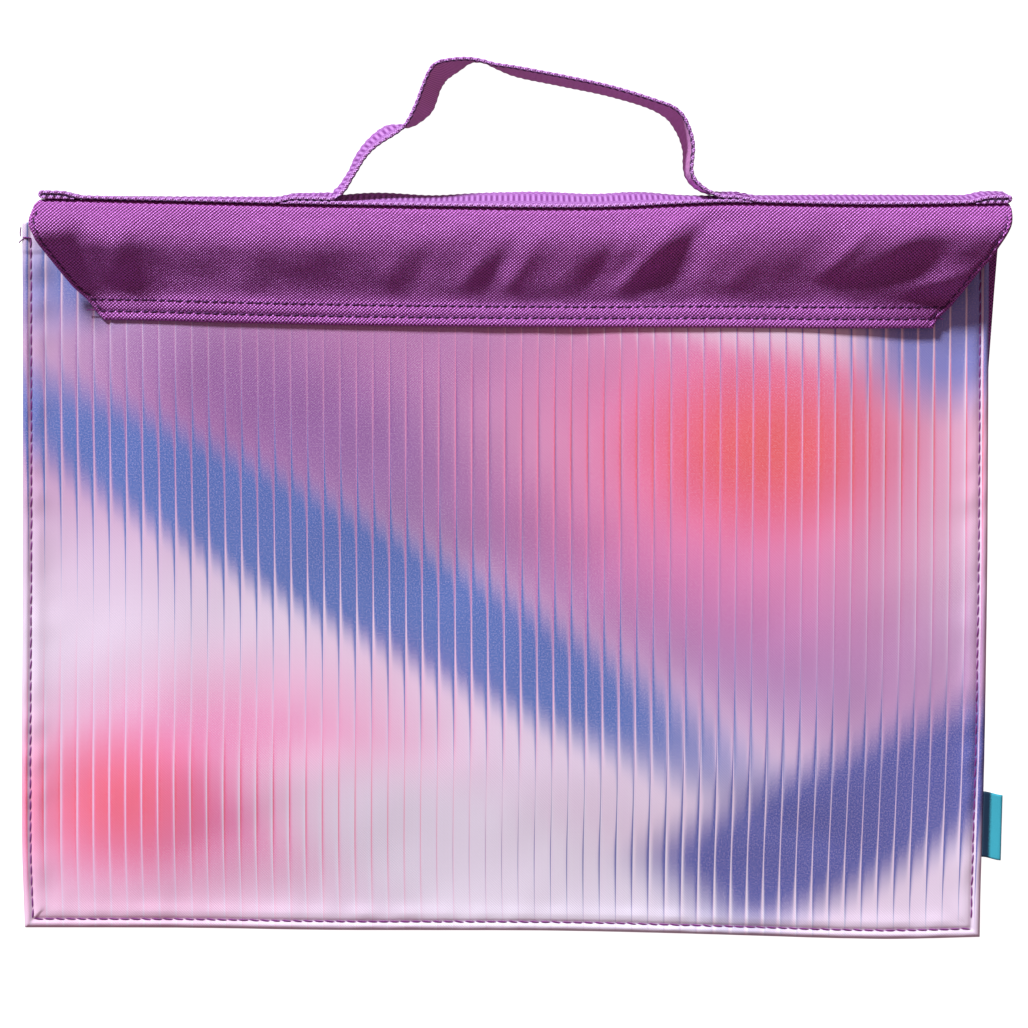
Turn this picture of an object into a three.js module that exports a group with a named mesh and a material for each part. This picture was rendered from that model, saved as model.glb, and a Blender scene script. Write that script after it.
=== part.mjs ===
// A flat cloth library bag with a sewn pouch, a deep flap and a webbing handle, lying on its back.
// Millimetres. +X is the bag's right as it lies, +Y its top, and +Z up from the floor.
import * as THREE from "three";

// The pouch
const bodyWidth = 376; // between the cut edges of the side seams
const bodyHeight = 283.5; // from the lower edge to the back of the spine
const clothWall = 1.2;
const pieceGap = 0.3; // between pieces that touch
const seamWidth = 5; // the flat sewn margin round the pouch
const swellWidth = 62; // how far in from a seam the cloth reaches its full height
const bellyRise = 5.6; // how far the front panel stands over its seam at the belly
const mouthRise = 8.6; // and at the mouth
const mouthDrop = 9; // the mouth's edge lies this far below the spine
const sideWander = 4; // how far a side edge strays from straight
const lowerDip = 4.6; // how far the lower edge sags at the right
const dentDepth = 1.1; // soft dents of the front panel

// The spine and the flap, one cut of cloth with the back yoke
const yokeDepth = 66.5; // from the spine down the back
const flapWidth = 378; // from ear to ear
const topShift = 5.8; // the flap's middle lies this far to the right of the pouch's
const flapDepth = 44.4; // from the fold to the hem's left corner, seen from above
const hemDrop = 3.8; // how much lower the hem lies at its lowest
const hemFloat = 0.35; // the hem's air over the front panel, besides the gap
const hemInset = 28; // how far the slanting sides bring in the hem's corners
const spineInset = 5.2; // the spine's left end lies this far in from the ear
const rightInset = 1.5; // and its right end this far
const cornerLift = 2.6; // how far the hem's right corner stands up
const cornerReach = 0.15; // over this share of the flap's width
const spineBend = 2; // radius of the two bends along the spine
const spineLean = 5.4; // how far the spine's top leans forward where it leans most
const foldDrop = 0.9; // the webbing's edge stands this much over the fold
const creaseDepth = 2; // dents of the flap
const creaseFoot = 0.33; // they fade out below this share of the fold's height

// The webbing
const webbingWidth = 25;
const webbingWall = 1.6;
const webbingShift = 1.8; // the webbing's middle lies this far to the right of the flap's
const webbingSpan = 374.4; // from folded end to folded end
const endTuck = 14; // length of the folded ends
const stepLength = 8; // a strip climbs onto another within this length
const stepClear = 3.5; // and stays clear of the other's end by this much first
const bridgeLength = 181.5; // the short strip under the handle
const bridgeShift = -3.4; // its middle from the long strip's middle
const handleSpan = 139.3; // between the handle's feet
const handleShift = -0.2; // the middle of the feet from the long strip's middle
const handleHeight = 54; // from the strip's edge at the feet to the handle's crown

// The side label, a folded loop caught in the right seam
const labelWidth = 25.4; // along the seam
const labelReach = 7.6; // out from the seam
const labelWall = 0.8;
const labelUp = 27.5; // from the lower edge
const labelSlope = 1.2; // the upper edge falls by this

// How fine the sheets are
const panelColumns = 30;
const panelRows = 20;
const backColumns = 16;
const backRows = 12;
const flapColumns = 42;
const handleSteps = 66;

// How far the side edges lie out, as shares of sideWander, by height as a share of the pouch
const sideEdges = [
  { up: 0, left: -0.25, right: -0.85 },
  { up: 0.08, left: 0.08, right: -0.72 },
  { up: 0.25, left: 0.1, right: -0.35 },
  { up: 0.5, left: 0, right: -0.08 },
  { up: 0.75, left: 0, right: 0.02 },
  { up: 1, left: 0.05, right: 0.1 },
];

// The lower edge's sag as a share of lowerDip, from left to right
const lowerEdge = [
  { across: 0, sag: 0 },
  { across: 0.18, sag: 0.02 },
  { across: 0.3, sag: 0.22 },
  { across: 0.55, sag: 0.25 },
  { across: 0.66, sag: 0.46 },
  { across: 0.76, sag: 0.7 },
  { across: 0.86, sag: 0.98 },
  { across: 0.94, sag: 1 },
  { across: 1, sag: 0.72 },
];

// Soft dents of the front panel: place and reach are shares of the pouch, depth a share of dentDepth
const panelDents = [
  { across: 0.09, up: 0.3, wide: 0.05, tall: 0.16, turn: 12, depth: 1 },
  { across: 0.16, up: 0.1, wide: 0.12, tall: 0.03, turn: 24, depth: 0.8 },
  { across: 0.9, up: 0.42, wide: 0.04, tall: 0.2, turn: -10, depth: 1 },
  { across: 0.84, up: 0.13, wide: 0.13, tall: 0.03, turn: -20, depth: 0.9 },
  { across: 0.5, up: 0.52, wide: 0.2, tall: 0.06, turn: 6, depth: 0.6 },
];

// The spine's lean from left to right, as shares of spineLean
const spineLeans = [
  { across: 0, lean: 0.25 },
  { across: 0.2, lean: 0.6 },
  { across: 0.32, lean: 0.78 },
  { across: 0.53, lean: 1 },
  { across: 0.63, lean: 0.92 },
  { across: 0.69, lean: 0.5 },
  { across: 0.8, lean: 0.74 },
  { across: 0.9, lean: 0.78 },
  { across: 1, lean: 0.6 },
];

// The flap's section from fold to hem: how far down, and its height over the hem's rest as a share of
// the fold's. It swells a little past the fold, and lies flat along the hem.
const flapSection = [
  { down: 0, height: 1 },
  { down: 0.08, height: 1.06 },
  { down: 0.16, height: 1.08 },
  { down: 0.24, height: 1.03 },
  { down: 0.33, height: 0.9 },
  { down: 0.43, height: 0.7 },
  { down: 0.53, height: 0.49 },
  { down: 0.62, height: 0.3 },
  { down: 0.7, height: 0.14 },
  { down: 0.77, height: 0.03 },
  { down: 0.87, height: 0 },
  { down: 1, height: 0 },
];

// How far the flap's sides lie in from its ears, as shares of hemInset
const flapSides = [
  { down: 0, left: 0.082, right: 0.012 },
  { down: 0.06, left: 0.04, right: 0 },
  { down: 0.13, left: 0, right: 0.01 },
  { down: 0.2, left: 0.015, right: 0.06 },
  { down: 0.26, left: 0.06, right: 0.117 },
  { down: 0.33, left: 0.105, right: 0.19 },
  { down: 0.4, left: 0.188, right: 0.25 },
  { down: 0.5, left: 0.3, right: 0.395 },
  { down: 0.6, left: 0.415, right: 0.515 },
  { down: 0.7, left: 0.535, right: 0.635 },
  { down: 0.76, left: 0.635, right: 0.71 },
  { down: 0.81, left: 0.73, right: 0.775 },
  { down: 0.87, left: 0.815, right: 0.89 },
  { down: 0.94, left: 0.885, right: 0.99 },
  { down: 1, left: 0.986, right: 1.03 },
];

// How much lower the hem lies than its left corner, as a share of hemDrop
const hemLine = [
  { across: 0.07, drop: 0 },
  { across: 0.12, drop: 0.08 },
  { across: 0.17, drop: 0.32 },
  { across: 0.27, drop: 0.53 },
  { across: 0.38, drop: 0.74 },
  { across: 0.53, drop: 0.84 },
  { across: 0.73, drop: 0.89 },
  { across: 0.84, drop: 1 },
  { across: 0.9, drop: 0.87 },
];

// Dents of the flap: place and reach are shares of its width and depth, depth a share of creaseDepth
const flapCreases = [
  { across: 0.032, down: 0.38, wide: 0.02, tall: 0.3, turn: 42, depth: 0.9 },
  { across: 0.085, down: 0.45, wide: 0.03, tall: 0.3, turn: 36, depth: -0.4 },
  { across: 0.665, down: 0.5, wide: 0.021, tall: 0.42, turn: 38, depth: 0.9 },
  { across: 0.715, down: 0.42, wide: 0.025, tall: 0.3, turn: 30, depth: -0.3 },
  { across: 0.86, down: 0.7, wide: 0.05, tall: 0.15, turn: 8, depth: 0.7 },
  { across: 0.925, down: 0.45, wide: 0.022, tall: 0.28, turn: 46, depth: 0.6 },
];

// How far the yoke's side edges have moved from the pouch's sides to the spine's ends
const yokeSides = [
  { up: 0, left: 0, right: 0 },
  { up: 0.45, left: 0.02, right: 0.4 },
  { up: 0.85, left: 0.2, right: 0.8 },
  { up: 1, left: 1, right: 1 },
];

// The handle's upper edge: along the span and up as shares of handleSpan and handleHeight.
// The lean is the lower edge's step to the right of the way along, as a share of webbingWidth.
const handleRoute = [
  { along: -0.007, rise: 0.037, lean: -0.17 },
  { along: 0.008, rise: 0.084, lean: -0.16 },
  { along: 0.022, rise: 0.147, lean: -0.15 },
  { along: 0.035, rise: 0.2, lean: -0.15 },
  { along: 0.055, rise: 0.285, lean: -0.18 },
  { along: 0.08, rise: 0.359, lean: -0.21 },
  { along: 0.11, rise: 0.417, lean: -0.24 },
  { along: 0.14, rise: 0.464, lean: -0.24 },
  { along: 0.165, rise: 0.512, lean: -0.15 },
  { along: 0.18, rise: 0.564, lean: 0 },
  { along: 0.193, rise: 0.633, lean: 0.12 },
  { along: 0.205, rise: 0.707, lean: 0.2 },
  { along: 0.216, rise: 0.786, lean: 0.21 },
  { along: 0.228, rise: 0.865, lean: 0.2 },
  { along: 0.242, rise: 0.934, lean: 0.21 },
  { along: 0.258, rise: 0.971, lean: 0.2 },
  { along: 0.28, rise: 0.987, lean: 0.16 },
  { along: 0.315, rise: 0.997, lean: 0.06 },
  { along: 0.35, rise: 0.997, lean: -0.07 },
  { along: 0.385, rise: 0.981, lean: -0.1 },
  { along: 0.415, rise: 0.96, lean: -0.07 },
  { along: 0.47, rise: 0.939, lean: 0.01 },
  { along: 0.6, rise: 0.876, lean: 0.03 },
  { along: 0.74, rise: 0.797, lean: 0.025 },
  { along: 0.86, rise: 0.702, lean: 0.03 },
  { along: 0.91, rise: 0.654, lean: 0.09 },
  { along: 0.936, rise: 0.596, lean: 0.12 },
  { along: 0.955, rise: 0.496, lean: 0.11 },
  { along: 0.965, rise: 0.38, lean: 0.1 },
  { along: 0.962, rise: 0.274, lean: 0.08 },
  { along: 0.96, rise: 0.205, lean: 0.04 },
  { along: 0.967, rise: 0.147, lean: 0 },
  { along: 0.985, rise: 0.095, lean: -0.03 },
  { along: 1.01, rise: 0.052, lean: -0.07 },
];

// Where along the handle's span the strip still stands on the spine, before and after the handle
const footStations = { before: [-0.06, -0.03], after: [1.045, 1.08] };

const clothPurple = 0x8a3aa3;
const webbingPurple = 0xa24fba;
const printLilac = 0xd7a3c4;
const labelTeal = 0x33a9bd;

const lerp = THREE.MathUtils.lerp;
const smooth = (x) => THREE.MathUtils.smoothstep(x, 0, 1);

// The value of a table's column at a place of its first column, straight between rows.
function lookUp(table, key, at, column) {
  const next = table.findIndex((row) => row[key] >= at);
  if (next === 0) return table[0][column];
  if (next < 0) return table[table.length - 1][column];
  const [a, b] = [table[next - 1], table[next]];
  return lerp(a[column], b[column], (at - a[key]) / (b[key] - a[key]));
}

// The same, but eased over a short reach, for edges and leans that curve.
function lookUpSoft(table, key, at, column) {
  const reach = 0.09;
  const stations = 4;
  let sum = 0;
  for (let k = 0; k < stations; k++) {
    sum += lookUp(table, key, at + lerp(-reach / 2, reach / 2, k / (stations - 1)), column);
  }
  return sum / stations;
}

// The depth at a place of all dents in a table, as soft oval hollows, each turned by its angle.
function dentsAt(table, across, along, alongKey, squareness) {
  return table.reduce((sum, dent) => {
    const angle = THREE.MathUtils.degToRad(dent.turn);
    const dx = (across - dent.across) * squareness;
    const dy = along - dent[alongKey];
    const x = (dx * Math.cos(angle) + dy * Math.sin(angle)) / (dent.wide * squareness);
    const y = (dy * Math.cos(angle) - dx * Math.sin(angle)) / dent.tall;
    return sum + dent.depth * Math.exp(-x * x - y * y);
  }, 0);
}

// A closed sheet of cloth from the rows of points down its middle.
function sheetSolid(rows, wall) {
  const across = rows[0].length;
  const count = rows.length * across;
  const positions = new Float32Array(count * 2 * 3);
  rows.forEach((row, j) =>
    row.forEach((point, i) => {
      const alongRow = new THREE.Vector3().subVectors(
        row[Math.min(i + 1, across - 1)],
        row[Math.max(i - 1, 0)],
      );
      const alongColumn = new THREE.Vector3().subVectors(
        rows[Math.min(j + 1, rows.length - 1)][i],
        rows[Math.max(j - 1, 0)][i],
      );
      const normal = alongRow.cross(alongColumn).normalize();
      const index = j * across + i;
      point.clone().addScaledVector(normal, wall / 2).toArray(positions, index * 3);
      point.clone().addScaledVector(normal, -wall / 2).toArray(positions, (count + index) * 3);
    }),
  );
  const faces = [];
  const quad = (a, b, c, d) => faces.push(a, b, c, a, c, d);
  for (let j = 0; j < rows.length - 1; j++) {
    for (let i = 0; i < across - 1; i++) {
      const a = j * across + i;
      quad(a, a + 1, a + 1 + across, a + across);
      quad(count + a, count + a + across, count + a + 1 + across, count + a + 1);
    }
  }
  const rim = [];
  for (let i = 0; i < across - 1; i++) rim.push(i);
  for (let j = 0; j < rows.length - 1; j++) rim.push(j * across + across - 1);
  for (let i = across - 1; i > 0; i--) rim.push((rows.length - 1) * across + i);
  for (let j = rows.length - 1; j > 0; j--) rim.push(j * across);
  rim.forEach((a, k) => {
    const b = rim[(k + 1) % rim.length];
    quad(a, count + a, count + b, b);
  });
  const geometry = new THREE.BufferGeometry();
  geometry.setAttribute("position", new THREE.BufferAttribute(positions, 3));
  geometry.setIndex(faces);
  geometry.computeVertexNormals();
  return geometry;
}

// A flat strip standing on its edge, from the points along its upper and its lower edge.
function stripSolid(upper, lower, wall) {
  const sides = [upper, lower].map((line) =>
    line.map((point, i) => {
      const way = new THREE.Vector3().subVectors(
        line[Math.min(i + 1, line.length - 1)],
        line[Math.max(i - 1, 0)],
      );
      const out = new THREE.Vector3(-way.y, way.x, 0).setLength(wall / 2);
      return [point.clone().add(out), point.clone().sub(out)];
    }),
  );
  const positions = [];
  upper.forEach((_, i) => {
    const corners = [sides[0][i][0], sides[0][i][1], sides[1][i][1], sides[1][i][0]];
    corners.forEach((corner) => positions.push(corner.x, corner.y, corner.z));
  });
  const faces = [];
  const last = (upper.length - 1) * 4;
  for (let i = 0; i < last; i += 4) {
    for (let k = 0; k < 4; k++) {
      const next = (k + 1) % 4;
      faces.push(i + k, i + next, i + 4 + next, i + k, i + 4 + next, i + 4 + k);
    }
  }
  faces.push(0, 2, 1, 0, 3, 2);
  faces.push(last, last + 1, last + 2, last, last + 2, last + 3);
  const geometry = new THREE.BufferGeometry();
  geometry.setAttribute("position", new THREE.Float32BufferAttribute(positions, 3));
  geometry.setIndex(faces);
  geometry.computeVertexNormals();
  return geometry;
}

// The pouch's outline

function sideX(side, y) {
  const out = bodyWidth / 2 + sideWander * lookUpSoft(sideEdges, "up", y / bodyHeight, side);
  return side === "left" ? -out : out;
}

function lowerY(x) {
  return -lowerDip * lookUpSoft(lowerEdge, "across", x / bodyWidth + 0.5, "sag");
}

const mouthY = bodyHeight - mouthDrop;
const seamZ = clothWall * 1.5 + pieceGap;

// Height of the middle of the front panel's cloth.
function panelZ(x, y) {
  const fromSide = Math.min(x - sideX("left", y), sideX("right", y) - x);
  const up = (y - lowerY(x)) / (mouthY - lowerY(x));
  const sideSwell = smooth((fromSide - seamWidth) / swellWidth);
  const lowerSwell = smooth((y - lowerY(x) - seamWidth) / swellWidth);
  const rise = bellyRise + (mouthRise - bellyRise) * up * up;
  const dent = dentDepth * dentsAt(panelDents, x / bodyWidth + 0.5, up, "up", bodyWidth / bodyHeight);
  return seamZ + sideSwell * lowerSwell * (rise - dent);
}

// Even steps, with one more row where the flat seam ends.
function panelShares(steps, seamShare, bothEnds) {
  const shares = [0, seamShare];
  const end = bothEnds ? 1 - seamShare : 1;
  for (let k = 1; k <= steps; k++) shares.push(lerp(seamShare, end, k / steps));
  if (bothEnds) shares.push(1);
  return shares;
}

function panelRowsTo(topY, columns, rowSteps, heightAt) {
  const rows = panelShares(rowSteps, seamWidth / topY, false);
  const across = panelShares(columns, seamWidth / bodyWidth, true);
  return rows.map((up) =>
    across.map((share) => {
      const level = up * topY;
      const x = lerp(sideX("left", level), sideX("right", level), share);
      const y = lerp(lowerY(x), topY, up);
      return new THREE.Vector3(x, y, heightAt(x, y));
    }),
  );
}

const frontPanel = sheetSolid(panelRowsTo(mouthY, panelColumns, panelRows, panelZ), clothWall);

const yokeY = bodyHeight - yokeDepth;
const backPanel = sheetSolid(
  panelRowsTo(yokeY - pieceGap, backColumns, backRows, () => clothWall / 2),
  clothWall,
);

// The spine, where the flap's cloth stands on edge

const flapLeft = topShift - flapWidth / 2;
const flapRight = topShift + flapWidth / 2;
const footY = bodyHeight - clothWall / 2; // the middle of the cloth at the foot of the spine

function leanAt(x) {
  return spineLean * lookUpSoft(spineLeans, "across", (x - flapLeft) / flapWidth, "lean");
}

function webbingTop(lean) {
  return Math.sqrt(webbingWidth ** 2 - lean ** 2);
}

function foldZ(x) {
  return webbingTop(leanAt(x)) - foldDrop - clothWall / 2;
}

// The middle of the spine's cloth at a height, on the plane that the webbing stands in.
function spineY(x, z) {
  const lean = leanAt(x);
  return footY - (lean * z) / webbingTop(lean);
}

function foldY(x) {
  return spineY(x, foldZ(x)) - spineBend;
}

// The flap's side at a station down its front, rounded at the ear and then cut on a slant.
function flapSide(side, down) {
  const inset = hemInset * lookUp(flapSides, "down", down, side);
  return side === "left" ? flapLeft + inset : flapRight - inset;
}

function spineSide(side) {
  return side === "left" ? flapLeft + spineInset : flapRight - rightInset;
}

function yokeSide(side, up) {
  const moved = lookUp(yokeSides, "up", up, side);
  return lerp(sideX(side, yokeY + up * yokeDepth), spineSide(side), moved);
}

// Height of the middle of the flap's cloth, where it hangs over the front panel.
function flapZ(x, y, down, across) {
  const left = Math.max(x, sideX("left", y));
  const inside = Math.min(left, sideX("right", y));
  const rest = panelZ(inside, y) + clothWall + pieceGap + hemFloat;
  const hem = rest + cornerLift * smooth((across - 1) / cornerReach + 1);
  const height = lookUp(flapSection, "down", down, "height");
  const soft = Math.sqrt(Math.sin(Math.PI * down)) * Math.min(1, height / creaseFoot);
  const dent = creaseDepth * dentsAt(flapCreases, across, down, "down", flapWidth / flapDepth);
  return hem + (foldZ(x) - hem) * height - (height > 0 ? dent * soft : 0);
}

// The rows of the flap's cut: the yoke, a bend, the spine, a bend, and the front down to the hem.
function flapRows() {
  const bendSteps = 3;
  const rows = [];
  const addRow = (left, right, pointAt) => {
    const row = [];
    for (let i = 0; i <= flapColumns; i++) {
      const across = i / flapColumns;
      row.push(pointAt(lerp(left, right, across), across));
    }
    rows.push(row);
  };
  const bendFoot = footY - spineBend;
  yokeSides.forEach(({ up }) => {
    addRow(yokeSide("left", up), yokeSide("right", up), (x) => {
      return new THREE.Vector3(x, lerp(yokeY, bendFoot, up), clothWall / 2);
    });
  });
  const [left, right] = [spineSide("left"), spineSide("right")];
  for (let k = 1; k <= bendSteps; k++) {
    const angle = (Math.PI / 2) * (k / bendSteps);
    addRow(left, right, (x) => {
      const z = clothWall / 2 + spineBend * (1 - Math.cos(angle));
      return new THREE.Vector3(x, spineY(x, z) - spineBend * (1 - Math.sin(angle)), z);
    });
  }
  for (let k = 0; k <= bendSteps; k++) {
    const turned = k / bendSteps;
    const angle = (Math.PI / 2) * turned;
    const bendLeft = lerp(left, flapSide("left", 0), turned);
    const bendRight = lerp(right, flapSide("right", 0), turned);
    addRow(bendLeft, bendRight, (x) => {
      const z = foldZ(x) - spineBend * (1 - Math.sin(angle));
      return new THREE.Vector3(x, spineY(x, z) - spineBend * (1 - Math.cos(angle)), z);
    });
  }
  flapSection.slice(1).forEach(({ down }) => {
    addRow(flapSide("left", down), flapSide("right", down), (x, across) => {
      const y = lerp(foldY(x), hemY(x), down);
      return new THREE.Vector3(x, y, flapZ(x, y, down, across));
    });
  });
  return rows;
}

function hemY(x) {
  const drop = hemDrop * lookUpSoft(hemLine, "across", (x - flapLeft) / flapWidth, "drop");
  return footY - spineBend - flapDepth - drop;
}

const flap = sheetSolid(flapRows(), clothWall);

// The webbing: a short strip on the spine, and a long one over it that rises as the handle

const webbingMid = topShift + webbingShift;
const webbingLeft = webbingMid - webbingSpan / 2;
const webbingRight = webbingMid + webbingSpan / 2;
const bridgeLeft = webbingMid + bridgeShift - bridgeLength / 2;
const bridgeRight = webbingMid + bridgeShift + bridgeLength / 2;
const footLeft = webbingMid + handleShift - handleSpan / 2;
const foldRadius = (webbingWall + pieceGap) / 2;
const firstLayer = clothWall / 2 + pieceGap + webbingWall / 2;
const secondLayer = firstLayer + webbingWall + pieceGap;

// The strip's upper and lower edge points where it stands on the spine, at a layer's distance.
function onSpine(x, layer) {
  const lean = leanAt(x);
  return {
    upper: new THREE.Vector3(x, footY - lean + layer, webbingTop(lean)),
    lower: new THREE.Vector3(x, footY + layer, 0),
  };
}

// The long strip lies on the spine, and on the short strip or its own folded end where they are.
function longLayer(x) {
  const tuckReach = endTuck + stepClear;
  const pastTuck = Math.min(x - webbingLeft, webbingRight - x) - tuckReach;
  const offBridge = Math.max(bridgeLeft - x, x - bridgeRight) - stepClear;
  const down = Math.min(smooth(pastTuck / stepLength), smooth(offBridge / stepLength));
  return lerp(secondLayer, firstLayer, down);
}

function runOnSpine(from, to, layerAt) {
  const stepSize = 3.2;
  const steps = Math.ceil(Math.abs(to - from) / stepSize);
  const points = [];
  for (let k = 0; k <= steps; k++) {
    const x = lerp(from, to, k / steps);
    points.push(onSpine(x, layerAt(x)));
  }
  return points;
}

// The folded end: a half turn from the outer layer to the inner one, and back along it.
function foldedEnd(endX, inward) {
  const turnSteps = 6;
  const points = [];
  const middle = endX + inward * (foldRadius + webbingWall / 2);
  for (let k = 1; k < turnSteps; k++) {
    const angle = Math.PI * (k / turnSteps);
    const x = middle - inward * foldRadius * Math.sin(angle);
    points.push(onSpine(x, lerp(secondLayer, firstLayer, (1 - Math.cos(angle)) / 2)));
  }
  const inner = runOnSpine(middle, endX + inward * endTuck, () => firstLayer);
  return [...points, ...inner];
}

// The free handle: both edges follow smooth curves through the route's rows.
function handleLoop() {
  const base = onSpine(footLeft, secondLayer).upper.y;
  const places = handleRoute.map(({ along, rise }) => {
    return new THREE.Vector2(footLeft + along * handleSpan, base + rise * handleHeight);
  });
  const standing = (along) => onSpine(footLeft + along * handleSpan, secondLayer);
  const upper = [];
  const lower = [];
  handleRoute.forEach(({ lean }, i) => {
    const way = new THREE.Vector2().subVectors(
      places[Math.min(i + 1, places.length - 1)],
      places[Math.max(i - 1, 0)],
    );
    const aside = new THREE.Vector2(way.y, -way.x).setLength(1).multiplyScalar(lean * webbingWidth);
    const height = webbingTop(lean * webbingWidth);
    upper.push(new THREE.Vector3(places[i].x, places[i].y, height));
    lower.push(new THREE.Vector3(places[i].x + aside.x, places[i].y + aside.y, 0));
  });
  const before = footStations.before.map(standing);
  const after = footStations.after.map(standing);
  const whole = (edge, free) => {
    return new THREE.CatmullRomCurve3([
      ...before.map((point) => point[edge]),
      ...free,
      ...after.map((point) => point[edge]),
    ]);
  };
  const upperCurve = whole("upper", upper);
  const lowerCurve = whole("lower", lower);
  const points = [];
  for (let k = 0; k <= handleSteps; k++) {
    const share = k / handleSteps;
    points.push({ upper: upperCurve.getPoint(share), lower: lowerCurve.getPoint(share) });
  }
  return points;
}

function longStrip() {
  const loop = handleLoop();
  const turnRoom = foldRadius + webbingWall / 2;
  const leftRun = runOnSpine(webbingLeft + turnRoom, loop[0].upper.x - stepLength, longLayer);
  const rightRun = runOnSpine(loop.at(-1).upper.x + stepLength, webbingRight - turnRoom, longLayer);
  const leftEnd = foldedEnd(webbingLeft, 1).reverse();
  const rightEnd = foldedEnd(webbingRight, -1);
  return [...leftEnd, ...leftRun, ...loop, ...rightRun, ...rightEnd];
}

function stripOf(points) {
  return stripSolid(
    points.map((point) => point.upper),
    points.map((point) => point.lower),
    webbingWall,
  );
}

const handleWebbing = stripOf(longStrip());
const bridgeWebbing = stripOf(runOnSpine(bridgeLeft, bridgeRight, () => firstLayer));

// The label: a strip folded once, its open end at the seam
function sideLabel() {
  const height = 2 * labelWall + pieceGap;
  const profile = new THREE.Shape();
  profile.moveTo(0, 0);
  profile.lineTo(labelReach - height / 2, 0);
  profile.absarc(labelReach - height / 2, height / 2, height / 2, -Math.PI / 2, Math.PI / 2, false);
  profile.lineTo(0, height);
  profile.lineTo(0, height - labelWall);
  profile.lineTo(labelReach - height / 2, height - labelWall);
  profile.absarc(labelReach - height / 2, height / 2, pieceGap / 2, Math.PI / 2, -Math.PI / 2, true);
  profile.lineTo(0, labelWall);
  profile.closePath();
  const geometry = new THREE.ExtrudeGeometry(profile, {
    depth: labelWidth,
    bevelEnabled: false,
    curveSegments: 6,
  });
  geometry.rotateX(Math.PI / 2);
  geometry.translate(0, labelWidth, 0);
  const points = geometry.attributes.position;
  for (let i = 0; i < points.count; i++) {
    const slope = (labelSlope * points.getX(i)) / labelReach;
    points.setY(i, points.getY(i) * (1 - slope / labelWidth));
  }
  geometry.computeVertexNormals();
  return geometry;
}

function named(name, geometry, color, roughness) {
  const material = new THREE.MeshStandardMaterial({ color, roughness, metalness: 0 });
  const mesh = new THREE.Mesh(geometry, material);
  mesh.name = name;
  return mesh;
}

const bag = new THREE.Group();
bag.add(named("back_panel", backPanel, printLilac, 0.65));
bag.add(named("front_panel", frontPanel, printLilac, 0.65));
bag.add(named("flap", flap, clothPurple, 0.8));
bag.add(named("bridge_webbing", bridgeWebbing, webbingPurple, 0.75));
bag.add(named("handle_webbing", handleWebbing, webbingPurple, 0.75));

const label = named("side_label", sideLabel(), labelTeal, 0.6);
const labelMiddle = labelUp + labelWidth / 2;
label.position.set(sideX("right", labelMiddle) + pieceGap * 2, labelUp, pieceGap);
bag.add(label);

// The origin goes to the middle of the whole bag, on the floor.
const whole = new THREE.Box3().setFromObject(bag);
const centre = whole.getCenter(new THREE.Vector3());
bag.position.set(-centre.x, -centre.y, -whole.min.z);

export default bag;
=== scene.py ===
"""The looks of a cloth library bag that lies on its back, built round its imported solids.

Lengths are in millimetres in the bag's own plan, x to its right and y to its top from the middle of the
pouch's lower edge, and become metres in the row frame when a mesh is made.
"""

import math

import bpy
import numpy as np
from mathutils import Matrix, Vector


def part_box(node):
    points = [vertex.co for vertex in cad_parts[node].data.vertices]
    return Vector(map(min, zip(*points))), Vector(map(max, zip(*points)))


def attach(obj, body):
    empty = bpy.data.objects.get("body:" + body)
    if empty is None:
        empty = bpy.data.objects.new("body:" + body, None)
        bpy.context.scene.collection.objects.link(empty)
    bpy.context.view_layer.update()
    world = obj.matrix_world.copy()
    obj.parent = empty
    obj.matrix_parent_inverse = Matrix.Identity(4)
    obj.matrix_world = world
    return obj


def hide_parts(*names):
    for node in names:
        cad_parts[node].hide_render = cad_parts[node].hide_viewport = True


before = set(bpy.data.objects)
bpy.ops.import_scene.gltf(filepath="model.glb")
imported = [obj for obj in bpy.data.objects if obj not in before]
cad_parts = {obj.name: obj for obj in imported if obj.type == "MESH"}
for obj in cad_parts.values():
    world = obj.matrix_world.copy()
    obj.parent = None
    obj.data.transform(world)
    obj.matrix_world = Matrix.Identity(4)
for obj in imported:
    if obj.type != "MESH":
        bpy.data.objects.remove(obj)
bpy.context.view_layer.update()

MM = 0.001

# The pouch
BODY_WIDTH = 376.0
BODY_HEIGHT = 283.5
CLOTH = 1.2
GAP = 0.3
SEAM_WIDTH = 5.0
SWELL_WIDTH = 62.0
BELLY_RISE = 5.6
MOUTH_RISE = 8.6
MOUTH_Y = BODY_HEIGHT - 9.0
SIDE_WANDER = 4.0
LOWER_DIP = 4.6
DENT_DEPTH = 1.1
SEAM_Z = CLOTH * 1.5 + GAP  # middle of the front cloth at its seams

# The yoke, spine and flap
YOKE_DEPTH = 66.5
YOKE_Y = BODY_HEIGHT - YOKE_DEPTH
FLAP_WIDTH = 378.0
TOP_SHIFT = 5.8
FLAP_LEFT = TOP_SHIFT - FLAP_WIDTH / 2
FLAP_RIGHT = TOP_SHIFT + FLAP_WIDTH / 2
FLAP_DEPTH = 44.4
HEM_DROP = 3.8
HEM_FLOAT = 0.35
HEM_INSET = 28.0
SPINE_INSET = 5.2
RIGHT_INSET = 1.5
CORNER_LIFT = 1.4  # the hem's right corner stands up
CORNER_REACH = 0.15  # over this share of the width
SPINE_BEND = 2.0
SPINE_LEAN = 5.4
FOLD_DROP = 0.4  # the fold's top lies this far under the webbing's upper edge
SPINE_PUFF = 0.13  # the spine's cloth bulges towards the webbing
CREASE_DEPTH = 2.0
CREASE_FOOT = 0.33
FLAP_CLOTH = 0.9  # the flap's own wall, eased from CLOTH past the fold
LAID_GAP = 0.15  # between the flap's lower part and the print it lies on
PANEL_RELIEF = 0.9  # shares of the sewn detail that the outsides take
FLAP_RELIEF = 0.8
FLOOR_GAP = 0.02
FOOT_Y = BODY_HEIGHT - CLOTH / 2  # middle of the spine's cloth at its foot

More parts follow.
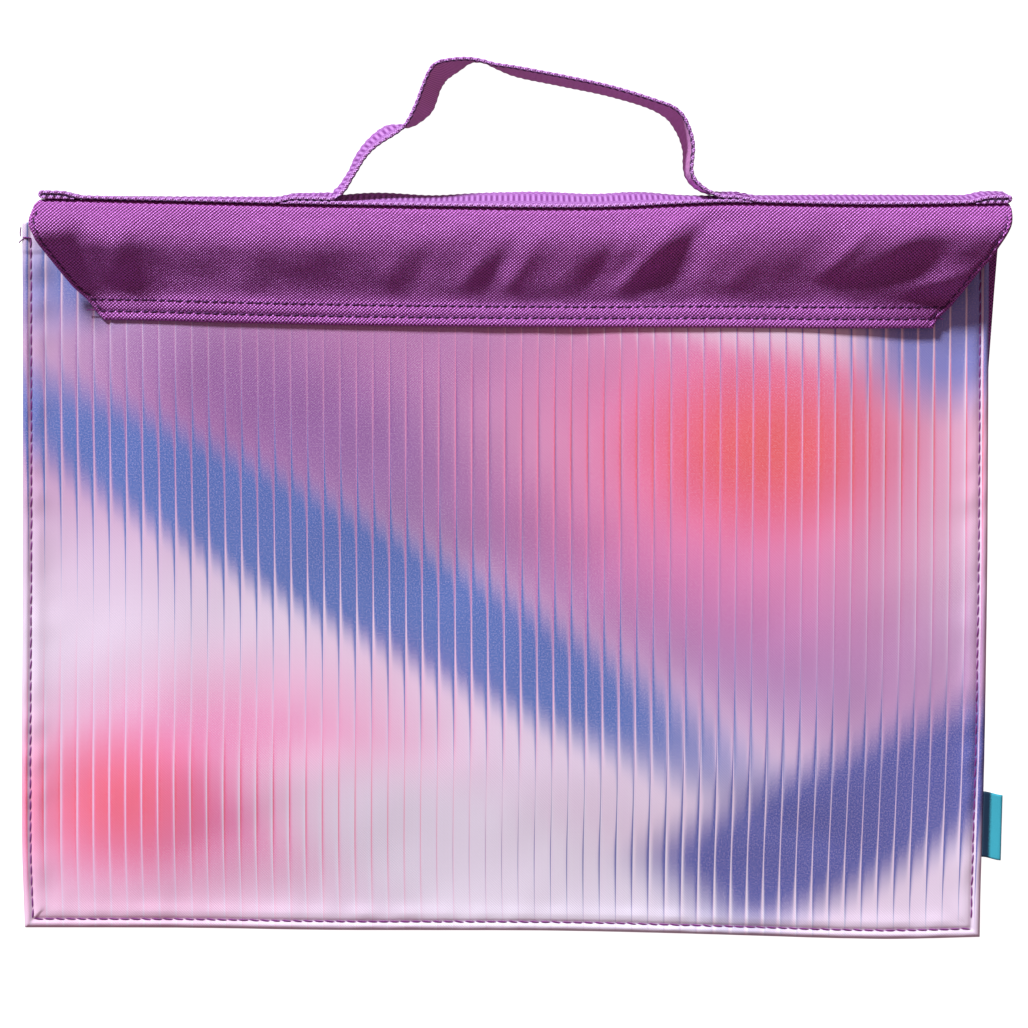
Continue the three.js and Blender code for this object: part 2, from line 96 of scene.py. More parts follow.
# The webbing
STRIP_WIDTH = 25.0
STRIP_WALL = 1.6
STRIP_SPAN = 374.4
STRIP_MID = TOP_SHIFT + 1.8
STRIP_LEFT = STRIP_MID - STRIP_SPAN / 2
STRIP_RIGHT = STRIP_MID + STRIP_SPAN / 2
END_TUCK = 14.0
SQUEEZE = 5.5  # the tucked ends are squeezed thin over this length
STEP_LENGTH = 8.5
BRIDGE_LENGTH = 181.5
BRIDGE_LEFT = STRIP_MID - 3.4 - BRIDGE_LENGTH / 2
BRIDGE_RIGHT = BRIDGE_LEFT + BRIDGE_LENGTH
HANDLE_SPAN = 139.3
HANDLE_LEFT = STRIP_MID - 0.2 - HANDLE_SPAN / 2
HANDLE_HEIGHT = 54.0
FOLD_RADIUS = (STRIP_WALL + GAP) / 2
SEWN_GAP = 0.1  # between layers that are sewn together
FOOT_PINCH = 0.12  # how much closer they lie at the foot
FIRST_LAYER = CLOTH / 2 + SEWN_GAP + STRIP_WALL / 2
SECOND_LAYER = FIRST_LAYER + STRIP_WALL + SEWN_GAP
RIB_PITCH = 2.15
RIB_HEIGHT = 0.07
LOOP_PITCH = 2.8  # of the loops along its woven edges
LOOP_HEIGHT = 0.26
CELL_PITCH = 0.95  # of the small cells on its edges

# Pitches of the plain weaves, warp and weft
FLAP_WEAVE = (0.73, 0.65)
PRINT_WEAVE = (0.52, 0.48)
LABEL_WEAVE = (0.28, 0.2)

# Stitches and thread
STITCH_PITCH = 4.2
STITCH_LENGTH = 3.95
THREAD_RADIUS = 0.3
TUBE_SIDES = 6
TUBE_STEP = 0.3  # of the cloth map from one side of a thread to the next
ROW_SINK = 0.3  # how far the webbing's stitches are pulled into its face
SEAM_INSET = 3.4  # the pouch's topstitch from its edges
SIDE_INSET = 2.0  # the flap's topstitch from its slanting sides
HEM_ROWS = (3.7, 8.3)  # the flap's two rows from its hem

# The label
LABEL_WIDTH = 25.4
LABEL_REACH = 7.6
LABEL_WALL = 0.8
LABEL_UP = 27.5
LABEL_SLOPE = 1.4  # its far end lies this much lower
LABEL_START = 0.15  # from the pouch's side

# The print
FLUTE_PITCH = 6.4
FLUTE_THROW = 44.0  # how far aside a flute's edges look

SIDE_EDGES = dict(
    up=(0, 0.08, 0.25, 0.5, 0.75, 1),
    left=(-0.25, 0.08, 0.1, 0, 0, 0.05),
    right=(-0.85, -0.72, -0.35, -0.08, 0.02, 0.1),
)
LOWER_EDGE = dict(
    across=(0, 0.18, 0.3, 0.55, 0.66, 0.76, 0.86, 0.94, 1),
    sag=(0, 0.02, 0.22, 0.25, 0.46, 0.7, 0.98, 1, 0.72),
)
SPINE_LEANS = dict(
    across=(0, 0.2, 0.32, 0.53, 0.63, 0.69, 0.8, 0.9, 1),
    lean=(0.25, 0.6, 0.78, 1, 0.92, 0.5, 0.74, 0.78, 0.6),
)

# The flap's height as a share from its hem to its fold, and the same at its left side
FLAP_SECTION = dict(
    down=(0, 0.08, 0.16, 0.24, 0.33, 0.43, 0.53, 0.62, 0.7, 0.77, 0.87, 1),
    height=(1, 1.06, 1.08, 1.03, 0.9, 0.7, 0.49, 0.3, 0.14, 0.03, 0, 0),
    left=(1, 1.06, 1.1, 1.09, 0.97, 0.73, 0.48, 0.26, 0.1, 0.02, 0, 0),
)
FLAP_SIDES = dict(
    down=(0, 0.06, 0.13, 0.2, 0.26, 0.33, 0.4, 0.5, 0.6, 0.7, 0.76, 0.81, 0.87, 0.94, 1),
    left=(0.082, 0.04, 0, 0.015, 0.06, 0.105, 0.188, 0.3, 0.415, 0.535, 0.635, 0.73, 0.815, 0.885, 0.986),
    right=(0.012, 0, 0.01, 0.06, 0.117, 0.19, 0.25, 0.395, 0.515, 0.635, 0.71, 0.775, 0.89, 0.99, 1.03),
)
HEM_LINE = dict(
    across=(0.07, 0.12, 0.17, 0.27, 0.38, 0.53, 0.73, 0.84, 0.9),
    drop=(0, 0.08, 0.32, 0.53, 0.74, 0.84, 0.89, 1, 0.87),
)
YOKE_SIDES = dict(up=(0, 0.45, 0.85, 1), left=(0, 0.02, 0.2, 1), right=(0, 0.4, 0.8, 1))

# How far the spine's foot waves out, in millimetres, along the flap's width
FOOT_WAVES = dict(
    across=(0, 0.17, 0.3, 0.325, 0.355, 0.41, 0.46, 0.52, 0.575, 0.62, 0.665, 0.7, 0.82, 1),
    out=(0, -0.2, -0.3, 0.9, 1.5, 0.1, 1.35, 1.9, 0.7, 1.9, 0.3, 0.2, 0.6, 0.4),
)

# Dents: across, along, wide, tall, turn in degrees, depth
PANEL_DENTS = (
    (0.09, 0.3, 0.05, 0.16, 12, 1),
    (0.16, 0.1, 0.12, 0.03, 24, 0.8),
    (0.9, 0.42, 0.04, 0.2, -10, 1),
    (0.84, 0.13, 0.13, 0.03, -20, 0.9),
    (0.5, 0.52, 0.2, 0.06, 6, 0.6),
)
FLAP_CREASES = (
    (0.032, 0.38, 0.02, 0.3, 42, 0.9),
    (0.085, 0.45, 0.03, 0.3, 36, -0.4),
    (0.665, 0.5, 0.021, 0.42, 38, 0.9),
    (0.715, 0.42, 0.025, 0.3, 30, -0.3),
    (0.86, 0.7, 0.05, 0.15, 8, 0.7),
    (0.925, 0.45, 0.022, 0.28, 46, 0.6),
)

# Smaller slanting folds that only the cloth itself shows: place across and down, how wide and tall in
# millimetres, turn in degrees, and height in millimetres
FLAP_FOLDS = (
    (0.04, 0.34, 3.4, 12, 40, -0.9),
    (0.074, 0.46, 4.2, 13, 38, 1.3),
    (0.215, 0.5, 6, 15, 34, 0.4),
    (0.365, 0.52, 4.5, 13, 34, 0.55),
    (0.395, 0.5, 3.5, 13, 34, -0.35),
    (0.45, 0.52, 3.6, 13, 36, 0.6),
    (0.475, 0.5, 3.0, 13, 36, -0.7),
    (0.5, 0.52, 3.2, 13, 34, 0.75),
    (0.555, 0.5, 6, 16, 26, 0.5),
    (0.585, 0.5, 3.6, 16, 28, -0.6),
    (0.634, 0.44, 3.8, 24, 38, 0.9),
    (0.672, 0.32, 3.2, 24, 38, -0.7),
    (0.74, 0.55, 5.5, 14, 34, 0.55),
    (0.81, 0.3, 7, 12, 26, -0.5),
    (0.845, 0.33, 3.2, 11, 30, 0.6),
    (0.9, 0.26, 8, 5.5, -20, 0.8),
    (0.905, 0.5, 17, 4.6, -24, -1.2),
    (0.962, 0.64, 14, 6, -14, 2.5),
)

# How high the hem stands over the print in millimetres, and how steeply its last HEM_FALL falls to it
HEM_AIR = dict(
    across=(0.05, 0.2, 0.32, 0.5, 0.6, 0.74, 0.86, 0.92, 1),
    air=(0.0, 0.05, 0.25, 0.6, 0.5, 0.25, 0.0, 0.0, 0.1),
    fall=(0.19, 0.19, 0.08, 0.02, 0, 0, 0.02, 0.1, 0.14),
)
HEM_FALL = 9.5

# The handle's upper edge, as in the solids: along the span, rise, and lean of the strip
HANDLE_ROUTE = (
    (-0.007, 0.037, -0.17),
    (0.008, 0.084, -0.16),
    (0.022, 0.147, -0.15),
    (0.035, 0.2, -0.15),
    (0.055, 0.285, -0.18),
    (0.08, 0.359, -0.21),
    (0.11, 0.417, -0.24),
    (0.14, 0.464, -0.24),
    (0.165, 0.512, -0.15),
    (0.18, 0.564, 0),
    (0.193, 0.633, 0.12),
    (0.205, 0.707, 0.2),
    (0.216, 0.786, 0.21),
    (0.228, 0.865, 0.2),
    (0.242, 0.934, 0.21),
    (0.258, 0.971, 0.2),
    (0.28, 0.987, 0.16),
    (0.315, 0.997, 0.06),
    (0.35, 0.997, -0.07),
    (0.385, 0.981, -0.1),
    (0.415, 0.96, -0.07),
    (0.47, 0.939, 0.01),
    (0.6, 0.876, 0.03),
    (0.74, 0.797, 0.025),
    (0.86, 0.702, 0.03),
    (0.91, 0.654, 0.09),
    (0.936, 0.596, 0.12),
    (0.955, 0.496, 0.11),
    (0.965, 0.38, 0.1),
    (0.962, 0.274, 0.08),
    (0.96, 0.205, 0.04),
    (0.967, 0.147, 0),
    (0.985, 0.095, -0.03),
    (1.01, 0.052, -0.07),
)
FEET = dict(before=(-0.06, -0.03), after=(1.045, 1.08))

# The plan's origin in the row frame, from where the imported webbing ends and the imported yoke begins
webbing_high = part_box("handle_webbing")[1]
flap_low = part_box("flap")[0]
ORIGIN = np.array([webbing_high[0] / MM - STRIP_RIGHT, flap_low[1] / MM - YOKE_Y, 0.0])


# Shape functions, on arrays


def smooth(x):
    x = np.clip(x, 0, 1)
    return x * x * (3 - 2 * x)


def bell(x):
    return np.exp(-np.square(x))


def look_up(table, key, at, column):
    return np.interp(at, table[key], table[column])


def look_up_soft(table, key, at, column, reach=0.09):
    """The same, eased over a short reach."""
    shifts = np.linspace(-reach / 2, reach / 2, 4)
    return sum(look_up(table, key, at + shift, column) for shift in shifts) / len(shifts)


def mound(dx, dy, wide, tall, turn):
    """A turned bell that is 1 at its middle."""
    angle = math.radians(turn)
    x = (dx * math.cos(angle) + dy * math.sin(angle)) / wide
    y = (dy * math.cos(angle) - dx * math.sin(angle)) / tall
    return np.exp(-x * x - y * y)


def dents(rows, across, along, squareness):
    total = 0
    for centre, middle, wide, tall, turn, depth in rows:
        dx = (across - centre) * squareness
        total = total + depth * mound(dx, along - middle, wide * squareness, tall, turn)
    return total


def ripples(x, y, length, seed, count=9):
    """Smooth unevenness between about -1 and 1, from waves of about that length in all directions."""
    draw = np.random.default_rng(seed)
    total = 0
    for _ in range(count):
        angle = draw.uniform(0, math.pi)
        wave = 2 * math.pi / (length * draw.uniform(0.7, 1.5))
        phase = draw.uniform(0, 2 * math.pi)
        total = total + np.sin((x * math.cos(angle) + y * math.sin(angle)) * wave + phase)
    return total / math.sqrt(count) / 1.4


def spaced(length, fine_ends, fine, coarse):
    """Stations from 0 to length, fine within fine_ends of both ends."""
    ends = np.arange(0, fine_ends, fine)
    middle = np.linspace(fine_ends, length - fine_ends, max(2, round((length - 2 * fine_ends) / coarse)))
    return np.concatenate([ends, middle, length - ends[::-1]])


def rolled(edge, width):
    """How far a rolled edge falls, from 1 at the edge to 0 at its width."""
    return 1 - np.sqrt(np.clip(1 - np.square(np.clip(1 - edge / width, 0, 1)), 0, 1))


def lengths_along(line):
    return np.concatenate([[0], np.cumsum(np.linalg.norm(np.diff(line, axis=0), axis=1))])


def points_at(at, along, line):
    return np.stack([np.interp(at, along, line[:, k]) for k in range(3)], axis=1)


def side_x(side, y):
    out = BODY_WIDTH / 2 + SIDE_WANDER * look_up_soft(SIDE_EDGES, "up", y / BODY_HEIGHT, side)
    return -out if side == "left" else out


def lower_y(x):
    return -LOWER_DIP * look_up_soft(LOWER_EDGE, "across", x / BODY_WIDTH + 0.5, "sag")


def panel_z(x, y):
    """Height of the middle of the front panel's cloth, as in the solids."""
    from_side = np.minimum(x - side_x("left", y), side_x("right", y) - x)
    up = (y - lower_y(x)) / (MOUTH_Y - lower_y(x))
    swell = smooth((from_side - SEAM_WIDTH) / SWELL_WIDTH)
    swell = swell * smooth((y - lower_y(x) - SEAM_WIDTH) / SWELL_WIDTH)
    rise = BELLY_RISE + (MOUTH_RISE - BELLY_RISE) * up * up
    dent = DENT_DEPTH * dents(PANEL_DENTS, x / BODY_WIDTH + 0.5, up, BODY_WIDTH / BODY_HEIGHT)
    return SEAM_Z + swell * (rise - dent)


def panel_detail(x, y):
    """What the sewing adds to the front panel's outside: a rolled edge, a groove and small puckers."""
    from_side = np.minimum(x - side_x("left", y), side_x("right", y) - x)
    from_low = y - lower_y(x)
    edge = np.minimum(from_side, from_low)
    along = np.where(from_side < from_low, y, x)
    roll = rolled(edge, 1.5)
    groove = bell((edge - SEAM_INSET) / 0.75)
    puff = 0.45 * bell((edge - 1.7) / 1.1) + 0.5 * bell((edge - SEAM_INSET - 3.2) / 2.4)
    uneven = 1 + 0.5 * ripples(along, 0, 16, 3)
    pull = 0.22 * bell((edge - 6) / 9) * ripples(along, edge * 0.2, 11, 5)
    soft = smooth(edge / 20)
    waves = soft * (0.55 * ripples(x, y, 95, 11) + 0.16 * ripples(x, y, 34, 12))
    stretch = soft * 0.3 * ripples(x * 0.45 + y * 0.2, y * 0.15, 22, 14)
    hem = 0.5 * smooth((y - MOUTH_Y + 12) / 0.8)
    return puff * uneven - 0.6 * groove - roll + pull + waves + stretch + hem


def lean_at(x):
    return SPINE_LEAN * look_up_soft(SPINE_LEANS, "across", (x - FLAP_LEFT) / FLAP_WIDTH, "lean")


def strip_top(lean):
    return np.sqrt(STRIP_WIDTH**2 - np.square(lean))


def fold_z(x):
    return strip_top(lean_at(x)) - FOLD_DROP - CLOTH / 2


def foot_out(x):
    return look_up_soft(FOOT_WAVES, "across", (x - FLAP_LEFT) / FLAP_WIDTH, "out", 0.025)


def spine_y(x, z):
    foot = foot_out(x)
    return FOOT_Y + foot - (lean_at(x) + foot) * z / strip_top(lean_at(x))


def hem_y(x):
    drop = HEM_DROP * look_up_soft(HEM_LINE, "across", (x - FLAP_LEFT) / FLAP_WIDTH, "drop")
    return FOOT_Y - SPINE_BEND - FLAP_DEPTH - drop


def flap_side(side, down):
    inset = HEM_INSET * look_up_soft(FLAP_SIDES, "down", down, side, 0.05)
    return FLAP_LEFT + inset if side == "left" else FLAP_RIGHT - inset


def spine_side(side):
    return FLAP_LEFT + SPINE_INSET if side == "left" else FLAP_RIGHT - RIGHT_INSET


def yoke_side(side, up):
    moved = look_up(YOKE_SIDES, "up", up, side)
    body = side_x(side, YOKE_Y + up * YOKE_DEPTH)
    return body + (spine_side(side) - body) * moved


def fold_heights(across, down):
    total = 0
    for centre, middle, wide, tall, turn, height in FLAP_FOLDS:
        dx = (across - centre) * FLAP_WIDTH
        dy = (down - middle) * FLAP_DEPTH
        total = total + height * mound(dx, dy, wide, tall, turn)
    return total


def flap_z(x, y, down, across):
    inside = np.minimum(np.maximum(x, side_x("left", y)), side_x("right", y))
    air = look_up_soft(HEM_AIR, "across", across, "air")
    printed = np.maximum(panel_detail(inside, y), 0) * PANEL_RELIEF
    lying = panel_z(inside, y) + (CLOTH + FLAP_CLOTH) / 2 + LAID_GAP + air + printed
    rest = panel_z(inside, y) + CLOTH + GAP + HEM_FLOAT
    rest = rest + (lying - rest) * smooth((down - 0.6) / 0.2)
    fall = look_up_soft(HEM_AIR, "across", across, "fall")
    rest = rest + fall * np.minimum((1 - down) * FLAP_DEPTH, HEM_FALL)
    hem = rest + CORNER_LIFT * smooth((across - 1) / CORNER_REACH + 1)
    height = look_up_soft(FLAP_SECTION, "down", down, "height", 0.06)
    fuller = look_up_soft(FLAP_SECTION, "down", down, "left", 0.06)
    height = fuller + (height - fuller) * smooth((across - 0.25) / 0.25)
    soft = np.sqrt(np.sin(math.pi * np.clip(down, 0, 1)).clip(0)) * np.minimum(1, height / CREASE_FOOT)
    dent = CREASE_DEPTH * dents(FLAP_CREASES, across, down, FLAP_WIDTH / FLAP_DEPTH)
    fold = fold_heights(across, down)
    return hem + (fold_z(x) - hem) * height - (dent - fold) * soft


def flap_middle(across, down):
    """Points of the middle of the flap's cloth, from its fold to its hem."""
    x = flap_side("left", down) + (flap_side("right", down) - flap_side("left", down)) * across
    y0 = spine_y(x, fold_z(x)) - SPINE_BEND
    y = y0 + (hem_y(x) - y0) * down
    return np.stack([x, y, flap_z(x, y, down, across)], axis=-1)


def side_slant(side, down):
    step = 0.01
    return (flap_side(side, down + step) - flap_side(side, down - step)) / (2 * step * FLAP_DEPTH)


def flap_edge_distance(across, down):
    """How far a place of the flap is from its slanting sides, square to them."""
    width = flap_side("right", down) - flap_side("left", down)
    distance = []
    for side, offset in (("left", across), ("right", 1 - across)):
        distance.append(offset * width / np.sqrt(1 + np.square(side_slant(side, down))))
    return np.minimum(*distance)


def flap_detail(across, down):
    """What sewing and handling add to the flap's outside."""
    x = FLAP_LEFT + FLAP_WIDTH * across
    up = (1 - down) * FLAP_DEPTH
    side = flap_edge_distance(across, down)
    edge = np.minimum(side, up)
    roll = 0.9 * rolled(edge, 1.3)
    rows = sum(bell((up - row) / 0.6) for row in HEM_ROWS)
    stitched = 0.4 * smooth((HEM_ROWS[1] + 1.2 - up) / 0.8)
    puff = 0.25 * bell((up - sum(HEM_ROWS) / 2) / 1.4) + 0.2 * bell((up - 1.6) / 1.2)
    pucker = 0.16 * np.cos(2 * math.pi * x / STITCH_PITCH) * bell((up - HEM_ROWS[1] - 1) / 1.6)
    side_groove = 0.4 * bell((side - SIDE_INSET) / 0.6) - 0.22 * bell((side - 0.9) / 0.6)
    inner = smooth((up - HEM_ROWS[1] - 1) / 12) * smooth(side / 10)
    waves = inner * (0.5 * ripples(x, up, 46, 21) + 0.2 * ripples(x, up, 18, 22))
    slack = 0.3 * smooth((16 - up) / 8) * smooth((up - HEM_ROWS[1]) / 3) * ripples(x, up * 0.3, 15, 23)
    return stitched + puff + pucker - 0.35 * rows - side_groove - roll + waves + slack


# Meshes


def make_mesh(name, points, faces, uv=None, material_index=None, materials=()):
    """A smooth mesh from points in the plan and quads or triangles, with a cloth map in metres."""
    mesh = bpy.data.meshes.new(name)
    points = (np.asarray(points, float).reshape(-1, 3) + ORIGIN) * MM
    faces = np.asarray(faces, np.int32)
    sides = faces.shape[1]
    mesh.vertices.add(len(points))
    mesh.vertices.foreach_set("co", points.astype(np.float32).ravel())
    mesh.loops.add(faces.size)
    mesh.loops.foreach_set("vertex_index", faces.ravel())
    mesh.polygons.add(len(faces))
    mesh.polygons.foreach_set("loop_start", np.arange(0, faces.size, sides, dtype=np.int32))
    mesh.polygons.foreach_set("loop_total", np.full(len(faces), sides, np.int32))
    mesh.update(calc_edges=True)
    if uv is not None:
        layer = mesh.uv_layers.new(name="cloth")
        flat = (np.asarray(uv, float).reshape(-1, 2) * MM)[faces.ravel()]
        layer.data.foreach_set("uv", flat.astype(np.float32).ravel())
    mesh.polygons.foreach_set("use_smooth", np.ones(len(faces), bool))
    for material in materials:
        mesh.materials.append(material)
    if material_index is not None:
        mesh.polygons.foreach_set("material_index", np.asarray(material_index, np.int32))
    mesh.validate()
    piece = bpy.data.objects.new(name, mesh)
    bpy.context.scene.collection.objects.link(piece)
    return piece


def surface_normals(grid):
    across = np.gradient(grid, axis=1)
    along = np.gradient(grid, axis=0)
    normal = np.cross(across, along)
    return normal / np.linalg.norm(normal, axis=-1, keepdims=True)


def sheet_piece(name, outer, inner, uv, materials):
    """A closed sheet between two grids of points. The second one's side takes the last material."""
    rows, columns = outer.shape[:2]
    count = rows * columns
    index = np.arange(count).reshape(rows, columns)
    a, b = index[:-1, :-1].ravel(), index[:-1, 1:].ravel()
    c, d = index[1:, 1:].ravel(), index[1:, :-1].ravel()
    top = np.stack([a, b, c, d], axis=1)
    bottom = np.stack([a, d, c, b], axis=1) + count
    rim = np.concatenate([index[0, :-1], index[:-1, -1], index[-1, :0:-1], index[:0:-1, 0]])
    after = np.roll(rim, -1)
    sides = np.stack([rim, rim + count, after + count, after], axis=1)
    faces = np.concatenate([top, bottom, sides])
    both = np.concatenate([outer.reshape(-1, 3), inner.reshape(-1, 3)])
    maps = np.concatenate([uv.reshape(-1, 2), uv.reshape(-1, 2)])
    inside = [0] * len(top) + [len(materials) - 1] * len(bottom) + [0] * len(sides)
    return make_mesh(name, both, faces, maps, inside, materials)


def tube_rings(paths, radii):
    """Joined closed tubes, one for each path of an array (tubes, rings, 3), as points and quads."""
    tubes, rings = paths.shape[:2]
    way = np.gradient(paths, axis=1)
    way /= np.linalg.norm(way, axis=-1, keepdims=True)
    up = np.broadcast_to(np.array([0.0, 0.0, 1.0]), way.shape)
    steep = np.abs(way[..., 2:]) > 0.9
    up = np.where(steep, np.array([0.0, 1.0, 0.0]), up)
    aside = np.cross(way, up)
    aside /= np.linalg.norm(aside, axis=-1, keepdims=True)
    over = np.cross(aside, way)
    angles = np.arange(TUBE_SIDES) * 2 * math.pi / TUBE_SIDES
    ring = aside[..., None, :] * np.cos(angles)[:, None] + over[..., None, :] * np.sin(angles)[:, None]
    points = paths[..., None, :] + ring * np.asarray(radii)[..., None, None]
    index = np.arange(tubes * rings * TUBE_SIDES).reshape(tubes, rings, TUBE_SIDES)
    turned = np.roll(index, -1, axis=2)
    quads = np.stack([index[:, :-1], index[:, 1:], turned[:, 1:], turned[:, :-1]], axis=-1)
    return points.reshape(-1, 3), quads.reshape(-1, 4)


# Materials


class Shader:
    """A node material that is written as sums."""

    def __init__(self, name):
        self.material = bpy.data.materials.new(name)
        self.material.use_nodes = True
        self.tree = self.material.node_tree
        self.tree.nodes.clear()
        self.output = self.tree.nodes.new("ShaderNodeOutputMaterial")
        self.shader = self.tree.nodes.new("ShaderNodeBsdfPrincipled")
        self.tree.links.new(self.shader.outputs[0], self.output.inputs[0])

    def put(self, socket, value):
        if isinstance(value, bpy.types.NodeSocket):
            self.tree.links.new(value, socket)
        elif value is not None:
            socket.default_value = value

    def node(self, kind, **settings):
        made = self.tree.nodes.new(kind)
        for key, value in settings.items():
            setattr(made, key, value)
        return made

    def math(self, operation, a, b=None, c=None):
        made = self.node("ShaderNodeMath", operation=operation)
        for socket, value in zip(made.inputs, (a, b, c)):
            self.put(socket, value)
        return made.outputs[0]

    def mix(self, factor, a, b):
        made = self.node("ShaderNodeMix", data_type="RGBA", clamp_factor=True)
        self.put(made.inputs[0], factor)
        self.put(made.inputs[6], a)
        self.put(made.inputs[7], b)
        return made.outputs[2]

    def mix_value(self, factor, a, b):
        made = self.node("ShaderNodeMix", data_type="FLOAT", clamp_factor=True)
        self.put(made.inputs[0], factor)
        self.put(made.inputs[2], a)
        self.put(made.inputs[3], b)
        return made.outputs[0]

    def ramp(self, value, low, high, to_low=0.0, to_high=1.0, kind="SMOOTHSTEP"):
        made = self.node("ShaderNodeMapRange", interpolation_type=kind)
        for socket, given in zip(made.inputs, (value, low, high, to_low, to_high)):
            self.put(socket, given)
        return made.outputs[0]

    def noise(self, vector, scale, detail=2.0, roughness=0.5):
        made = self.node("ShaderNodeTexNoise")
        self.put(made.inputs["Vector"], vector)
        self.put(made.inputs["Scale"], scale)
        self.put(made.inputs["Detail"], detail)
        self.put(made.inputs["Roughness"], roughness)
        return made.outputs[0]

    def cloth_place(self):
        """The cloth map in millimetres: its vector, and its two parts."""
        made = self.node("ShaderNodeUVMap", uv_map="cloth")
        scaled = self.node("ShaderNodeVectorMath", operation="SCALE")
        self.put(scaled.inputs[0], made.outputs[0])
        scaled.inputs["Scale"].default_value = 1 / MM
        parts = self.node("ShaderNodeSeparateXYZ")
        self.put(parts.inputs[0], scaled.outputs[0])
        return scaled.outputs[0], parts.outputs[0], parts.outputs[1]

    def wave(self, value, pitch, phase=0.0):
        turned = self.math("MULTIPLY_ADD", value, 2 * math.pi / pitch, phase)
        return self.math("SINE", turned)

    def bump(self, height, distance, strength=1.0):
        made = self.node("ShaderNodeBump")
        made.inputs["Strength"].default_value = strength
        made.inputs["Distance"].default_value = distance * MM
        self.put(made.inputs["Height"], height)
        return made.outputs[0]

    def finish(self, color, roughness, normal=None, sheen=0.0, sheen_tint=None, specular=0.3):
        self.put(self.shader.inputs["Base Color"], color)
        self.put(self.shader.inputs["Roughness"], roughness)
        self.put(self.shader.inputs["Normal"], normal)
        self.shader.inputs["Specular IOR Level"].default_value = specular
        self.shader.inputs["Sheen Weight"].default_value = sheen
        if sheen_tint:
            self.shader.inputs["Sheen Tint"].default_value = sheen_tint
        return self.material


def linear(red, green, blue):
    """A colour as seen on a screen, from 0 to 1, as the shader's linear one."""
    parts = [c / 12.92 if c <= 0.04045 else ((c + 0.055) / 1.055) ** 2.4 for c in (red, green, blue)]
    return (*parts, 1.0)


def plain_weave(s, x, y, warp_pitch, weft_pitch):
    """The height of a plain weave, from -1 where a weft thread lies on top to 1 where a warp does."""
    return s.math("MULTIPLY", s.wave(x, 2 * warp_pitch), s.wave(y, 2 * weft_pitch))


def purple_oxford():
    """Purple oxford: glossy thread crossings in a lattice, with painted highlights on the crossings and
    painted shade between them.
    """
    s = Shader("purple_oxford")
    place, x, y = s.cloth_place()
    wobble = s.noise(place, 0.12, 3.0)
    across = s.math("MULTIPLY_ADD", wobble, 0.7, x)
    down = s.math("MULTIPLY_ADD", wobble, -0.6, y)
    weave = plain_weave(s, across, down, *FLAP_WEAVE)
    speck = s.noise(place, 2.6, 2.0)
    height = s.math("MULTIPLY_ADD", s.math("SUBTRACT", speck, 0.5), 0.8, weave)
    # painted light: the weave's crests lighter as painted highlights, the gaps between threads darker as
    # painted shade
    thread = s.ramp(height, -0.8, 0.8)
    color = s.mix(thread, linear(0.35, 0.02, 0.29), linear(0.82, 0.34, 0.78))
    rough = s.ramp(thread, 0.0, 1.0, 0.7, 0.5)
    bumps = s.bump(height, 0.2, 1.0)
    s.shader.inputs["IOR"].default_value = 2.3
    s.shader.inputs["Specular Tint"].default_value = linear(0.95, 0.66, 1.0)
    return s.finish(color, rough, bumps, specular=1.0)


# The print's soft fields of colour: middle and reach in millimetres from the middle of the panel, a
# turn in degrees, how soft the rim is as a share of the reach, how strong, and the colour.
# This layout is a plain invented one.
PRINT_GROUND = linear(0.95, 0.84, 0.93)
PRINT_FIELDS = (
    (-70, 74, 190, 62, 10, 0.9, 0.92, (0.74, 0.4, 0.66)),
    (120, -30, 120, 46, -14, 0.9, 0.8, (0.74, 0.42, 0.7)),
    (-40, 34, 170, 32, -27, 0.8, 0.8, (0.55, 0.3, 0.6)),
    (-62, -2, 190, 23, -27, 0.4, 0.97, (0.22, 0.4, 0.72)),
    (136, -96, 130, 28, 24, 0.45, 0.97, (0.27, 0.32, 0.66)),
    (-140, 122, 60, 22, 20, 0.6, 0.9, (0.3, 0.42, 0.74)),
    (96, 44, 92, 62, 0, 0.95, 0.98, (1.0, 0.36, 0.62)),
    (101, 46, 46, 30, 0, 0.95, 0.98, (1.0, 0.36, 0.33)),
    (-126, -88, 96, 46, 12, 0.85, 0.98, (1.0, 0.5, 0.72)),
    (-150, -92, 36, 24, 0, 0.95, 0.95, (1.0, 0.36, 0.45)),
    (10, -124, 116, 30, -22, 0.5, 0.95, (0.97, 0.9, 0.97)),
    (40, 116, 120, 20, -14, 0.6, 0.9, (0.98, 0.9, 0.97)),
    (176, 96, 40, 34, 26, 0.5, 0.95, (0.47, 0.49, 0.8)),
)


